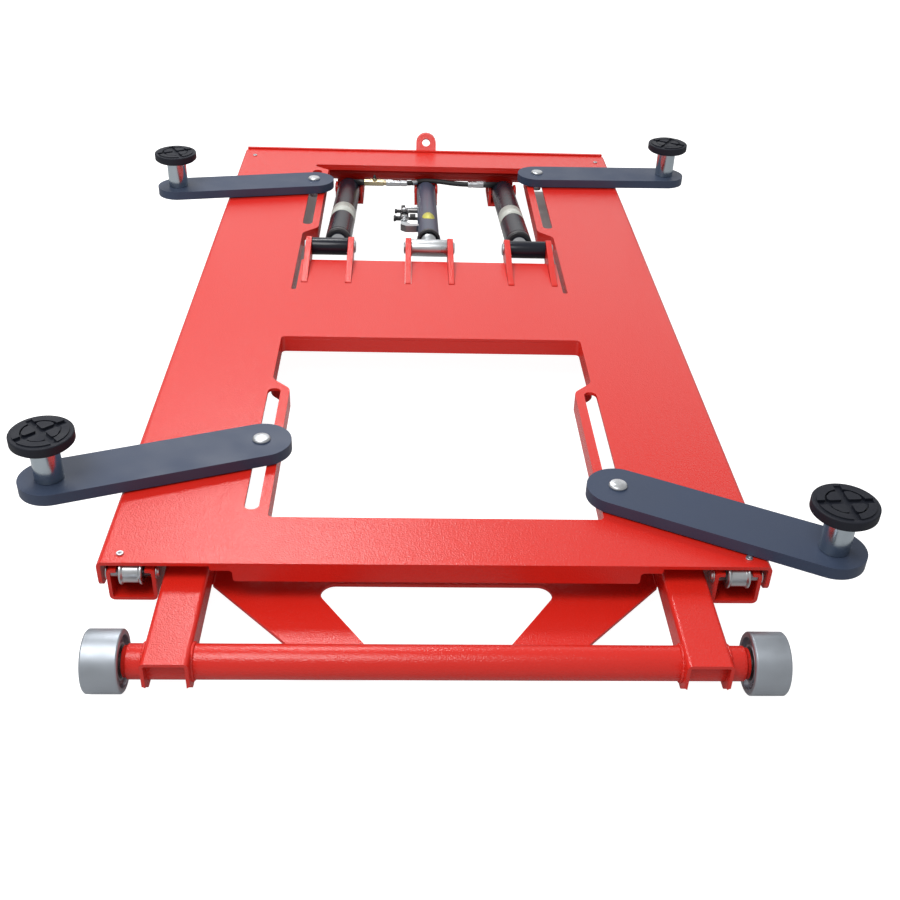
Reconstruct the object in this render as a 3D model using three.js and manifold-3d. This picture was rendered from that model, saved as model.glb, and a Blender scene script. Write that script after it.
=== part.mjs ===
// Mobile scissor car lift, lowered.
// Millimetres, +Z up, +X to the right, +Y from the wheeled near end to the far end with the tow eye.
// The origin lies on the floor, on the centre plane, under the pivot line of the base.
// Places along Y are first given from the near edge of the platform; one group moves them all.

import * as THREE from "three";
import { mergeVertices } from "three/addons/utils/BufferGeometryUtils.js";
import Module from "manifold-3d";

const wasm = await Module();
wasm.setup();

// Fits and counts
const seat = 0.3;
const runningGap = 0.3;
const overrun = 5;
const roundSides = 14;
const pinSides = 10;
const smallSides = 8;
const wheelSides = 20;
const cornerSegments = 1;
const arcSegments = 3;

// Scissor linkage
const wheelRadius = 45;
const wheelOverhang = 137.6;
const rollerInset = 12.4;
const basePivotInset = 41;
const platformPivotDrop = 26;
const armSideGap = 7;
const armGap = 9;

// Platform
const deckWidth = 1000;
const deckLength = 1806;
const deckTop = 108;
const deckPlate = 6;
const deckBendRadius = 9;
const skirtDepth = 49;
const skirtCornerRadius = 16;
const skirtFarStop = 68;
const wallPlate = 6;
const wallDepth = 34;
const nearStrip = 114;
const farStrip = 111;
const openingMargin = 44;
const openingCornerRadius = 8;
const slotInset = 7;
const tabInset = 28;
const tabRun = 35;
const tabRadius = 24;
const tongueGap = 48;
const reliefWidth = 10;
const flareRun = 26;
const flareLand = 14;
const flangeBeyondOpening = 3;
const flangeEarWidth = 36;
const flangeEarDepth = 14;
const flangeRadius = 7;

// Slots of the swing arms
const slotWidth = 23;
const farSlotLength = 372;
const farSlotReach = 415;
const nearSlotStartShare = 0.14425;
const nearSlotLengthShare = 0.40347;
const nearOpeningEndShare = 0.7679;

// Swing arms and pads
const armLength = 339;
const armWidth = 100;
const armPlate = 20;
const armLift = 3;
const nearLeftBoltShare = 0.44086;
const nearRightBoltShare = 0.10753;
const farLeftBoltShare = 0.64785;
const farRightBoltShare = 0.85753;
const nearLeftAngle = -19.9;
const nearRightAngle = -27.2;
const farLeftAngle = -10.7;
const farRightAngle = 1.5;
const boltRadius = 10;
const boltHeadRadius = 15;
const boltHeadHeight = 6.5;
const boltCrown = 3;
const boltCrownShare = 0.62;
const slideWasherRadius = 30;
const lowerWasherRadius = 20;
const lowerWasherThickness = 5;
const nutRadius = 13;
const nutHeight = 9;
const postRadius = 23;
const postHeight = 65;
const postShankRadius = 15;
const postWall = 4;
const padRadius = 50;
const padThickness = 21;
const padRelief = 5;
const padRimWidth = 4;
const padArcWidth = 11;
const padGroove = 6;
const padChannel = 9;
const padHubRadius = 9;

// Inner arms
const innerArmWidth = 66;
const innerArmWall = 5;
const innerNearTop = 76;
const innerNearBottom = 31;
const innerFarTop = 94;
const innerFarBottom = 50;
const innerNearOverhang = 38;
const lugDrop = 28;
const lugReach = 46;
const lugChamfer = 16;
const innerFarRadius = 19;

// Axle and wheels
const axleTubeRadius = 25;
const axleTubeWall = 4;
const axleTubeStickOut = 24;
const axlePlugRadius = 22.5;
const axlePlugWidth = 6;
const axlePlugDepth = 10;
const spindleRadius = 12.5;
const wheelWidth = 51;
const wheelHubInset = 3;
const wheelRim = 8;
const wheelRecess = 8;
const bearingRadius = 24;
const bearingLip = 3;
const retainerRadius = 17;
const retainerThickness = 3;
const retainerBoltRadius = 8;
const retainerBoltHeight = 4;

// Brace plate between the inner arms
const bracePlate = 6;
const braceTop = 38;
const braceReach = 287.6;
const braceShoulderReach = 173.6;
const braceFootOutsideShare = 0.588;
const braceFootInsideShare = 0.2698;
const braceCutShare = 0.5718;
const braceCutReach = 175.6;
const braceCutRadius = 22;
const braceSlotCount = 6;
const braceSlotPitchShare = 0.32845;
const braceSlotLength = 57;
const braceSlotWidth = 22;
const braceSlotReach = 215.6;

// Ears and cylinders
const eyeInset = 37;
const cylinderInboard = 15;
const rodPinReach = 642;
const rodPinAboveDeck = 12;
const anchorReach = 59;
const anchorZ = 40;
const earGapHalf = 41;
const earPlate = 13;
const earHeadRadius = 22;
const earFootReach = 162;
const earFootDepth = 12;
const earRootInset = 16;
const earRootLength = 66;
const earNotchSide = 1.5;
const earNotchEnd = 6;
const crossTubeReach = 201;
const crossTubeWidth = 84;
const crossTubeTop = 68;
const crossTubeHeight = 44;
const crossTubeWall = 5;
const eyeRadius = 19.5;
const eyePinRadius = 10;
const eyePinHeadRadius = 14;
const eyePinHeadWidth = 4;
const rodRadius = 17.5;
const rodEndGap = 148;
const pistonLength = 25;
const barrelRadius = 30;
const barrelWall = 6;
const barrelStart = 52;
const barrelEndPlug = 14;
const glandLength = 9;
const glandChamfer = 3;
const footRadius = 14;
const footLength = 26;
const footHalfWidth = 20;
const footPinRadius = 7;
const footBushStep = 1;

// Safety lock
const lockTubeRadius = 25;
const lockTubeWall = 4;
const lockTubeStart = 84;
const lockTubeEndGap = 21;
const lockCollarRadius = 27.5;
const lockCollarLength = 14;
const lockRodRadius = 18;
const lockFootHalfWidth = 15;
const lockFootDrop = 3;
const notchFirst = 150;
const notchPitch = 60;
const notchCount = 5;
const notchWidth = 14;
const notchDepth = 4;

// Latch on the left side of the lock tube
const latchOffset = 58;
const latchRadius = 8.5;
const latchStart = 258;
const latchLength = 84;
const latchCapLength = 12;
const latchCapRadius = 9.5;
const latchPostRadius = 5;
const latchPinAlong = 360;
const latchPinRadius = 5;
const latchPinHeadRadius = 7;
const latchPinHeadLength = 8;
const fittingRadius = 6.5;
const fittingLength = 16;
const pawlAlong = 176;
const pawlHinge = 214;
const pawlWidth = 18;
const pawlHeight = 20;
const pawlRadius = 9;
const pawlPinRadius = 4;
const latchLugPlate = 4;

// Hydraulic hose between the barrels; its fittings are placed by shares of the barrels' offset
const hoseRadius = 6.5;
const hoseReach = 19;
const hoseZ = 63;
const hoseBackReach = 6;
const hoseRise = 3;
const hoseSteps = 20;
const portRadius = 8;
const ferruleRadius = 8.5;
const fittingStep = 1;
const hexRadius = 9.5;
const leftPortShare = 0.8;
const teeEndShare = 0.5524;
const leftNutStartShare = 0.5143;
const leftNutEndShare = 0.4333;
const leftFerruleShare = 0.2476;
const rightNutStartShare = 0.7429;
const rightNutEndShare = 0.6619;
const rightFerruleShare = 0.5429;

// Outer arms
const outerArmWidth = 71;
const outerArmWall = 5.5;
const outerLip = 14.5;
const outerNearTop = 94;
const outerNearBottom = 37;
const outerFarTop = 60;
const outerFarRadius = 34;
const rollerRadius = 19.7;
const rollerWaist = 17;
const rollerWidth = 34;
const rollerFlange = 3;
const rollerAxleRadius = 8;
const rollerAxleStickOut = 5;
const clipRadius = 11.5;
const clipThickness = 1.6;

// Pivots
const centrePinRadius = 14;
const centreBushRadius = 20;
const centrePinHeadRadius = 18;
const centrePinHeadWidth = 3.5;
const platformPinRadius = 12;
const platformPinHeadRadius = 15;
const platformPinHeadWidth = 4;
const platformLugGap = 7;
const platformLugPlate = 14;
const platformOuterLugPlate = 5;
const platformLugRadius = 19;
const cornerShare = 0.95;
const platformLugHalfLength = 46;
const lugSideGap = 1.5;

// Base
const endPlateGap = 2;
const endPlate = 8;
const endPlateAboveDeck = 4;
const endPlateInset = 6;
const endPlateWindowTop = 27;
const floorBar = 8;
const floorBarLength = 126;
const lockBarHalfWidth = 31;
const cylinderBarHalfWidth = 38;
const sideBarMargin = 8.5;
const basePinRadius = 12;
const baseLugRadius = 21;
const baseLugPlate = 10;
const baseTubeRadius = 16;
const baseTubeWall = 3;
const baseTubeBeyondPivot = 25;
const baseTubeAbovePivot = 9;
const baseOuterLugPlate = 4.8;
const anchorSideGap = 0.6;
const lockLugPlate = 5;
const cylinderLugPlate = 6;
const anchorLugRadius = 17;
const anchorLugBase = 52;
const anchorHeadRadius = 12;
const anchorHeadWidth = 1.5;
const towEyeWidth = 55;
const towEyePlate = 12;
const towEyeHoleRadius = 11;
const towEyeLegBottom = 56;
const towEyeBend = 106;
const towEyeAboveDeck = 40.6;
const towEyeAngle = 35;

// Places across the platform, from its centre plane
const outerArmOutside = deckWidth / 2 - deckPlate - armSideGap;
const outerArmInside = outerArmOutside - outerArmWidth;
const innerArmOutside = outerArmInside - armGap;
const innerArmInside = innerArmOutside - innerArmWidth;
const axleTubeHalfLength = innerArmOutside + axleTubeStickOut;
const wheelInside = axleTubeHalfLength + axlePlugWidth;
const platformLugInside = innerArmInside - platformLugGap - platformLugPlate;
const openingHalfWidth = innerArmInside - openingMargin;
const slotOffset = openingHalfWidth - slotInset;
const tabHalfWidth = slotOffset - tabInset;
const eyeOffset = tabHalfWidth - eyeInset;
const cylinderOffset = eyeOffset - cylinderInboard;
const flangeHalfWidth = openingHalfWidth + flangeBeyondOpening;
const endPlateHalfWidth = deckWidth / 2 - endPlateInset;
const innerLugEnd = outerArmInside - lugSideGap;
const sideBarInside = innerLugEnd - baseLugPlate - sideBarMargin;

// Places along the platform, from its near edge
const basePivotY = deckLength - basePivotInset;
const endPlateY = deckLength + endPlateGap;
const floorBarStart = endPlateY + endPlate - floorBarLength;
const anchorY = basePivotY - anchorReach;
const hoseY = anchorY - hoseReach;
const hoseBackY = anchorY - hoseBackReach;
const farOpeningEnd = deckLength - farStrip;
const farSlotStart = farOpeningEnd - farSlotReach;
const rodPinY = basePivotY - rodPinReach;
const earFootY = rodPinY - earFootReach;
const tongueFront = rodPinY - tongueGap;
const crossTubeY = rodPinY - crossTubeReach;
const earRootY = crossTubeY + earRootInset;
const reliefEnd = crossTubeY;
const nearOpeningEnd = reliefEnd * nearOpeningEndShare;
const nearSlotStart = reliefEnd * nearSlotStartShare;
const nearSlotLength = reliefEnd * nearSlotLengthShare;

// Places worked out from the linkage
const axleZ = wheelRadius;
const pivotZ = deckTop - platformPivotDrop;
const restAngle = Math.atan2(pivotZ - axleZ, basePivotY - rollerInset);
const lowerHalf = (basePivotY + wheelOverhang) / 2 / Math.cos(restAngle);
const upperHalf = (basePivotY - rollerInset) / Math.cos(restAngle) - lowerHalf;
const centreY = basePivotY - lowerHalf * Math.cos(restAngle);
const centreZ = axleZ + lowerHalf * Math.sin(restAngle);
const axleY = centreY - lowerHalf * Math.cos(restAngle);
const rollerY = centreY - upperHalf * Math.cos(restAngle);
const platformPivotY = centreY + upperHalf * Math.cos(restAngle);
const deckUnder = deckTop - deckPlate;
const rodPinZ = deckTop + rodPinAboveDeck;
const cylinderTilt = Math.atan2(rodPinZ - anchorZ, anchorY - rodPinY);
const cylinderLength = Math.hypot(rodPinZ - anchorZ, anchorY - rodPinY);
const rodLength = cylinderLength - rodEndGap;
const degree = Math.PI / 180;
const sides = [-1, 1];

// Materials
function paint(color, roughness, metalness) {
  return new THREE.MeshStandardMaterial({ color, roughness, metalness });
}
const redPaint = () => paint(0xe0382c, 0.42, 0.05);
const armPaint = () => paint(0x474f60, 0.5, 0.1);
const barrelPaint = () => paint(0x15161a, 0.18, 0.1);
const lockPaint = () => paint(0x474c5c, 0.4, 0.15);
const zinc = () => paint(0xaab0b8, 0.35, 0.9);
const chrome = () => paint(0xd8dade, 0.12, 1);
const blackRubber = () => paint(0x222427, 0.85, 0);

// Solids
function signedVolume(geometry) {
  const place = geometry.attributes.position;
  const index = geometry.index;
  const a = new THREE.Vector3();
  const b = new THREE.Vector3();
  const c = new THREE.Vector3();
  let volume = 0;
  for (let i = 0; i < index.count; i += 3) {
    a.fromBufferAttribute(place, index.getX(i));
    b.fromBufferAttribute(place, index.getX(i + 1));
    c.fromBufferAttribute(place, index.getX(i + 2));
    volume += a.dot(b.cross(c));
  }
  return volume;
}

function closed(geometry) {
  const bare = geometry.index ? geometry.clone() : mergeVertices(geometry.clone());
  for (const name of Object.keys(bare.attributes)) {
    if (name !== "position") bare.deleteAttribute(name);
  }
  const merged = mergeVertices(bare, runningGap / 1000);
  const whole = [];
  const index = merged.index.array;
  for (let i = 0; i < index.length; i += 3) {
    const corner = [index[i], index[i + 1], index[i + 2]];
    if (new Set(corner).size === 3) whole.push(...corner);
  }
  merged.setIndex(whole);
  if (signedVolume(merged) < 0) {
    for (let i = 0; i < whole.length; i += 3) {
      [whole[i], whole[i + 1]] = [whole[i + 1], whole[i]];
    }
    merged.setIndex(whole);
  }
  return merged;
}

function toSolid(geometry) {
  const body = closed(geometry);
  const vertProperties = new Float32Array(body.attributes.position.array);
  const triVerts = new Uint32Array(body.index.array);
  return new wasm.Manifold(new wasm.Mesh({ numProp: 3, vertProperties, triVerts }));
}

function toGeometry(solid) {
  const result = solid.getMesh();
  const geometry = new THREE.BufferGeometry();
  geometry.setAttribute("position", new THREE.BufferAttribute(result.vertProperties.slice(), 3));
  geometry.setIndex(new THREE.BufferAttribute(result.triVerts.slice(), 1));
  return geometry;
}

function cut(body, ...tools) {
  let solid = toSolid(body);
  for (const tool of tools.flat()) solid = solid.subtract(toSolid(tool));
  return toGeometry(solid);
}

function join(...bodies) {
  const solids = bodies.flat().map(toSolid);
  return toGeometry(solids.reduce((whole, next) => whole.add(next)));
}

function keepInside(body, tool) {
  return toGeometry(toSolid(body).intersect(toSolid(tool)));
}

function mirrored(geometry) {
  return closed(geometry.clone().scale(-1, 1, 1));
}

// Outlines whose corners are [first, second, radius]; a corner without a radius stays sharp
function outline(corners, Kind = THREE.Shape) {
  const path = new Kind();
  corners.forEach(([u, v, radius = 0], i) => {
    const before = corners[(i + corners.length - 1) % corners.length];
    const after = corners[(i + 1) % corners.length];
    const corner = new THREE.Vector2(u, v);
    if (!radius) {
      if (i) path.lineTo(u, v);
      else path.moveTo(u, v);
      return;
    }
    const back = new THREE.Vector2(before[0], before[1]).sub(corner).normalize();
    const ahead = new THREE.Vector2(after[0], after[1]).sub(corner).normalize();
    const half = Math.acos(THREE.MathUtils.clamp(back.dot(ahead), -1, 1)) / 2;
    const toCentre = back.clone().add(ahead).normalize().multiplyScalar(radius / Math.sin(half));
    const centre = corner.clone().add(toCentre);
    const start = corner.clone().addScaledVector(back, radius / Math.tan(half)).sub(centre);
    const end = corner.clone().addScaledVector(ahead, radius / Math.tan(half)).sub(centre);
    const clockwise = back.cross(ahead) > 0;
    path.absarc(centre.x, centre.y, radius, start.angle(), end.angle(), clockwise);
  });
  return path;
}

// Moves every edge of an outline, given anticlockwise, outwards by one distance
function grown(corners, distance) {
  return corners.map(([u, v, radius = 0], i) => {
    const before = corners[(i + corners.length - 1) % corners.length];
    const after = corners[(i + 1) % corners.length];
    const into = new THREE.Vector2(u - before[0], v - before[1]).normalize();
    const out = new THREE.Vector2(after[0] - u, after[1] - v).normalize();
    const share = distance / (1 + into.dot(out));
    const turn = into.cross(out) > 0 ? distance : -distance;
    const grownRadius = radius ? Math.max(radius + turn, 0) : 0;
    return [u + share * (into.y + out.y), v - share * (into.x + out.x), grownRadius];
  });
}

function hole(u, v, radius) {
  return new THREE.Path().absarc(u, v, radius, 0, 2 * Math.PI, true);
}

function slotPath(u, start, end, width) {
  const radius = width / 2;
  const path = new THREE.Path();
  path.absarc(u, end - radius, radius, 0, Math.PI, false);
  path.absarc(u, start + radius, radius, Math.PI, 2 * Math.PI, false);
  return path;
}

function extrude(shape, depth, segments = cornerSegments) {
  return new THREE.ExtrudeGeometry(shape, { depth, bevelEnabled: false, curveSegments: segments });
}

// A plate whose outline lies in X and Y, between two heights
function plateXY(shape, low, high, segments) {
  return extrude(shape, high - low, segments).translate(0, 0, low);
}

// A plate whose outline lies in Y and Z, between two places along X
const yzFrame = new THREE.Matrix4().makeBasis(
  new THREE.Vector3(0, 1, 0),
  new THREE.Vector3(0, 0, 1),
  new THREE.Vector3(1, 0, 0),
);
function plateYZ(shape, left, right, segments) {
  return extrude(shape, right - left, segments).applyMatrix4(yzFrame).translate(left, 0, 0);
}

// A plate whose outline lies in X and Z, between two places along Y
function plateXZ(shape, near, far, segments) {
  return extrude(shape, far - near, segments).rotateX(Math.PI / 2).translate(0, far, 0);
}

function block(left, right, near, far, low, high) {
  const geometry = new THREE.BoxGeometry(right - left, far - near, high - low);
  return geometry.translate((left + right) / 2, (near + far) / 2, (low + high) / 2);
}

// Turned pieces: profile points are [radius, place along the axis]
function turned(profile, count = roundSides) {
  return new THREE.LatheGeometry(profile.map(([r, h]) => new THREE.Vector2(r, h)), count);
}
function turnedX(profile, y, z, count) {
  return turned(profile, count).rotateZ(-Math.PI / 2).translate(0, y, z);
}
function turnedZ(profile, x, y, count) {
  return turned(profile, count).rotateX(Math.PI / 2).translate(x, y, 0);
}
function rodX(radius, left, right, y, z, count) {
  return turnedX([[0, left], [radius, left], [radius, right], [0, right]], y, z, count);
}

// A faceted bore whose flats stay clear of what turns in it
function boreRadius(radius, count) {
  return radius / Math.cos(Math.PI / count);
}
function boreX(radius, left, right, y, z, count = pinSides) {
  return rodX(boreRadius(radius, count), left - overrun, right + overrun, y, z, count);
}
function sleeve(inner, outer, start, end) {
  return [[inner, start], [outer, start], [outer, end], [inner, end], [inner, start]];
}

// The scene graph
const lift = new THREE.Group();
const machine = new THREE.Group();
machine.position.y = -basePivotY;
lift.add(machine);

function add(name, geometry, material, parent = machine) {
  const mesh = new THREE.Mesh(closed(geometry), material);
  mesh.name = name;
  parent.add(mesh);
  return mesh;
}

function addPair(name, geometry, makePaint, parent = machine) {
  add(name + "_right", geometry, makePaint(), parent);
  add(name + "_left", mirrored(geometry), makePaint(), parent);
}

// Platform

// The right half of an opening, from its near edge to its far edge, mirrored into a whole outline
function wholeOutline(rightHalf) {
  const leftHalf = rightHalf.map(([x, y, radius]) => [-x, y, radius]).reverse();
  return [...rightHalf, ...leftHalf];
}

const nearSlotEnd = nearSlotStart + nearSlotLength;
const nearOpening = wholeOutline([
  [tabHalfWidth, nearStrip, openingCornerRadius],
  [tabHalfWidth, nearSlotEnd, tabRadius],
  [openingHalfWidth, nearSlotEnd + tabRun, tabRadius],
  [openingHalfWidth, nearOpeningEnd, openingCornerRadius],
]);
const farOpeningSide = [
  [openingHalfWidth, farSlotStart - tabRun - tabRun / 2, tabRadius],
  [tabHalfWidth, farSlotStart - tabRun / 2, tabRadius],
  [tabHalfWidth, farOpeningEnd - flareLand - flareRun, openingCornerRadius],
  [openingHalfWidth, farOpeningEnd - flareLand, openingCornerRadius],
  [openingHalfWidth, farOpeningEnd, openingCornerRadius],
];
const farOpening = wholeOutline([
  [openingHalfWidth, reliefEnd, reliefWidth / 2],
  ...farOpeningSide,
]);

// The tongue of the deck reaches into the far opening between the two relief slots
const tongueHalfWidth = openingHalfWidth - reliefWidth;
const earCentres = [-eyeOffset, 0, eyeOffset].flatMap((x) =>
  sides.map((side) => x + side * (earGapHalf + earPlate / 2)));
const tongue = block(-tongueHalfWidth, tongueHalfWidth, reliefEnd - overrun, tongueFront,
  deckUnder - 2 * overrun, deckTop + 2 * overrun);
const earNotches = earCentres.map((x) => block(
  x - earPlate / 2 - earNotchSide, x + earPlate / 2 + earNotchSide,
  earFootY - earNotchEnd, tongueFront + overrun, deckUnder - 3 * overrun, deckTop + 3 * overrun));

function throughDeck(shape, segments) {
  return plateXY(shape, deckUnder - overrun, deckTop + overrun, segments);
}

function deckSection() {
  const half = deckWidth / 2;
  const low = deckTop - skirtDepth;
  const innerBend = deckBendRadius - deckPlate;
  return outline([
    [-half, low],
    [-half + deckPlate, low],
    [-half + deckPlate, deckUnder, innerBend],
    [half - deckPlate, deckUnder, innerBend],
    [half - deckPlate, low],
    [half, low],
    [half, deckTop, deckBendRadius],
    [-half, deckTop, deckBendRadius],
  ]);
}

// The near lower corners of the skirts are rounded
function skirtCorner() {
  const low = deckTop - skirtDepth;
  const corner = new THREE.Shape();
  corner.moveTo(-overrun, low - overrun);
  corner.lineTo(skirtCornerRadius, low - overrun);
  corner.lineTo(skirtCornerRadius, low);
  corner.absarc(skirtCornerRadius, low + skirtCornerRadius, skirtCornerRadius,
    -Math.PI / 2, -Math.PI, true);
  corner.lineTo(-overrun, low + skirtCornerRadius);
  return plateYZ(corner, -deckWidth, deckWidth);
}

// A shallow flange stiffens the near edge; its ends sweep up to thin ears
function nearFlange() {
  const low = deckTop - wallDepth;
  const high = deckUnder + deckPlate / 2;
  const earLow = deckUnder - flangeEarDepth + deckPlate;
  return plateXZ(outline([
    [-flangeHalfWidth - flangeEarWidth, high],
    [-flangeHalfWidth - flangeEarWidth, earLow, flangeRadius / 2],
    [-flangeHalfWidth, earLow, flangeRadius],
    [-flangeHalfWidth + flangeRadius, low, flangeRadius],
    [flangeHalfWidth - flangeRadius, low, flangeRadius],
    [flangeHalfWidth, earLow, flangeRadius],
    [flangeHalfWidth + flangeEarWidth, earLow, flangeRadius / 2],
    [flangeHalfWidth + flangeEarWidth, high],
  ]), 0, wallPlate);
}

function makeDeck() {
  const slotRows = [[nearSlotStart, nearSlotLength], [farSlotStart, farSlotLength]];
  const slots = slotRows.flatMap(([start, length]) => sides.map((side) =>
    throughDeck(new THREE.Shape(slotPath(side * slotOffset, start, start + length,
      slotWidth).getPoints(arcSegments)))));
  const farSkirts = block(-deckWidth, deckWidth, deckLength - skirtFarStop, deckLength + overrun,
    -overrun, deckTop - deckBendRadius);
  const farOpeningTool = cut(throughDeck(outline(farOpening)), cut(tongue, earNotches));
  const plate = cut(plateXZ(deckSection(), 0, deckLength), throughDeck(outline(nearOpening)),
    farOpeningTool, slots, farSkirts, skirtCorner());
  return join(plate, nearFlange());
}
add("deck_plate", makeDeck(), redPaint());

const wallLow = deckTop - wallDepth;
const wallHigh = deckUnder - seat;
function wallRing(corners) {
  const ring = outline(grown(corners, wallPlate));
  ring.holes.push(outline(corners, THREE.Path));
  return plateXY(ring, wallLow, wallHigh);
}
add("near_opening_walls", wallRing(nearOpening), redPaint());

// The far wall has notches where the barrels and the lock pass under the platform
const barrelNotch = barrelRadius + overrun;
const wallNotches = [-cylinderOffset, 0, cylinderOffset].map((x) => block(
  x - barrelNotch, x + barrelNotch, farOpeningEnd - overrun, farOpeningEnd + wallPlate + overrun,
  wallLow - overrun, wallHigh - wallPlate));
add("far_opening_walls", cut(wallRing(farOpening),
  block(-tongueHalfWidth, tongueHalfWidth, reliefEnd - 2 * wallPlate, tongueFront,
    wallLow - overrun, wallHigh + overrun), wallNotches), redPaint());

// Lugs under the platform, with a pin through each pair, hold the far ends of the inner arms
function platformLug(left, right) {
  return plateYZ(outline([
    [platformPivotY - platformLugHalfLength, wallHigh],
    [platformPivotY - platformLugRadius, pivotZ - platformLugRadius, platformLugRadius * cornerShare],
    [platformPivotY + platformLugRadius, pivotZ - platformLugRadius, platformLugRadius * cornerShare],
    [platformPivotY + platformLugHalfLength, wallHigh],
  ]), left, right);
}
const outerLugStart = innerArmOutside + lugSideGap;
const outerLugEnd = outerLugStart + platformOuterLugPlate;
const platformPin = turnedX([
  [0, platformLugInside - platformPinHeadWidth],
  [platformPinHeadRadius, platformLugInside - platformPinHeadWidth],
  [platformPinHeadRadius, platformLugInside],
  [platformPinRadius, platformLugInside],
  [platformPinRadius, outerLugEnd - platformOuterLugPlate / 2],
  [0, outerLugEnd - platformOuterLugPlate / 2],
], platformPivotY, pivotZ, pinSides);
addPair("platform_pivot", join(
  platformLug(platformLugInside, platformLugInside + platformLugPlate),
  platformLug(outerLugStart, outerLugEnd), platformPin), redPaint);

// Inner arms

// A straight line between two ends along the arm
function along(near, far, y) {
  return near + (far - near) * (y - axleY) / (platformPivotY - axleY);
}

function innerArmSide(shrink, openEnds) {
  const reach = openEnds ? overrun : 0;
  const nearEnd = axleY - innerNearOverhang - reach;
  const lugLow = openEnds ? -overrun : axleZ - lugDrop;
  const bottom = (y) => along(innerNearBottom, innerFarBottom, y) + shrink;
  const top = (y) => along(innerNearTop, innerFarTop, y) - shrink;
  const lugFar = axleY + lugReach;
  const farTip = platformPivotY + innerFarRadius;
  if (openEnds) {
    return outline([
      [nearEnd, lugLow], [lugFar, lugLow], [lugFar, bottom(lugFar)],
      [farTip + reach, bottom(farTip)], [farTip + reach, top(farTip)], [nearEnd, top(nearEnd)],
    ]);
  }
  return outline([
    [nearEnd, axleZ - lugDrop + lugChamfer],
    [nearEnd + lugChamfer, lugLow, lugChamfer / 2],
    [axleY + lugChamfer, lugLow, lugChamfer / 2],
    [lugFar, bottom(lugFar)],
    [platformPivotY - innerFarRadius, bottom(platformPivotY), lugChamfer],
    [farTip, pivotZ - innerFarRadius / 2, innerFarRadius / 2],
    [farTip, top(farTip), innerFarRadius / 2],
    [nearEnd, top(nearEnd)],
  ]);
}

function innerArm() {
  const inside = innerArmInside;
  const outside = innerArmOutside;
  const hollow = plateYZ(innerArmSide(innerArmWall, true), inside + innerArmWall,
    outside - innerArmWall);
  const axleHole = rodX(axleTubeRadius + seat, inside - overrun, outside + overrun, axleY, axleZ);
  const bush = rodX(centreBushRadius, inside + innerArmWall / 2, outerArmInside - runningGap,
    centreY, centreZ);
  const centreHole = boreX(centrePinRadius + runningGap, inside, outerArmInside, centreY, centreZ);
  const farHole = boreX(platformPinRadius + runningGap, inside, outside, platformPivotY, pivotZ);
  const beam = cut(plateYZ(innerArmSide(0, false), inside, outside), hollow);
  return cut(join(beam, bush), axleHole, centreHole, farHole);
}
addPair("inner_arm", innerArm(), redPaint);

// The axle tube is closed by a plug at each end, and one shaft runs through it to both wheels
const tubeBore = axleTubeRadius - axleTubeWall;
const shaftBore = boreRadius(spindleRadius + seat, roundSides);
const plugEnd = axleTubeHalfLength + axlePlugWidth;
const plugStart = axleTubeHalfLength - axlePlugDepth;
add("wheel_axle_tube", turnedX([
  [shaftBore, -plugEnd],
  [axlePlugRadius, -plugEnd],
  [axlePlugRadius, -axleTubeHalfLength],
  [axleTubeRadius, -axleTubeHalfLength],
  [axleTubeRadius, axleTubeHalfLength],
  [axlePlugRadius, axleTubeHalfLength],
  [axlePlugRadius, plugEnd],
  [shaftBore, plugEnd],
  [shaftBore, plugStart],
  [tubeBore, plugStart],
  [tubeBore, -plugStart],
  [shaftBore, -plugStart],
  [shaftBore, -plugEnd],
], axleY, axleZ), redPaint());

const wheelOutside = wheelInside + wheelWidth;
const webOutside = wheelOutside - wheelRecess;
const retainerEnd = webOutside + seat + retainerThickness;
const axleHalf = [
  [spindleRadius, webOutside + seat],
  [retainerRadius, webOutside + seat],
  [retainerRadius, retainerEnd],
  [retainerBoltRadius, retainerEnd],
  [retainerBoltRadius, retainerEnd + retainerBoltHeight],
  [0, retainerEnd + retainerBoltHeight],
];
const axleOtherHalf = axleHalf.map(([radius, x]) => [radius, -x]).reverse();
add("wheel_axle", turnedX([...axleOtherHalf, ...axleHalf], axleY, axleZ, pinSides), zinc());

// Plate between the inner arms behind the axle, with a large cut-out and a row of slots
function makeBrace() {
  const half = innerArmInside - seat;
  const footOutside = innerArmInside * braceFootOutsideShare;
  const footInside = innerArmInside * braceFootInsideShare;
  const cutHalf = innerArmInside * braceCutShare;
  const cutFarEdge = axleY + braceCutReach;
  const nearEdge = axleY + Math.sqrt(axleTubeRadius ** 2 - (axleZ - braceTop) ** 2) + seat;
  const shape = outline([
    [footOutside, nearEdge],
    [half, axleY + braceShoulderReach],
    [half, axleY + braceReach],
    [-half, axleY + braceReach],
    [-half, axleY + braceShoulderReach],
    [-footOutside, nearEdge],
  ]);
  const cutOut = plateXY(outline([
    [-footInside, nearEdge - overrun],
    [footInside, nearEdge - overrun],
    [footInside, nearEdge],
    [cutHalf, cutFarEdge, braceCutRadius],
    [-cutHalf, cutFarEdge, braceCutRadius],
    [-footInside, nearEdge],
  ]), braceTop - bracePlate - overrun, braceTop + overrun);
  const slots = [];
  for (let i = 0; i < braceSlotCount; i++) {
    const x = (i - (braceSlotCount - 1) / 2) * innerArmInside * braceSlotPitchShare;
    const y = axleY + braceSlotReach;
    slots.push(block(x - braceSlotLength / 2, x + braceSlotLength / 2, y, y + braceSlotWidth,
      braceTop - bracePlate - overrun, braceTop + overrun));
  }
  return cut(plateXY(shape, braceTop - bracePlate, braceTop), cutOut, slots);
}
add("brace_plate", makeBrace(), redPaint());

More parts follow.
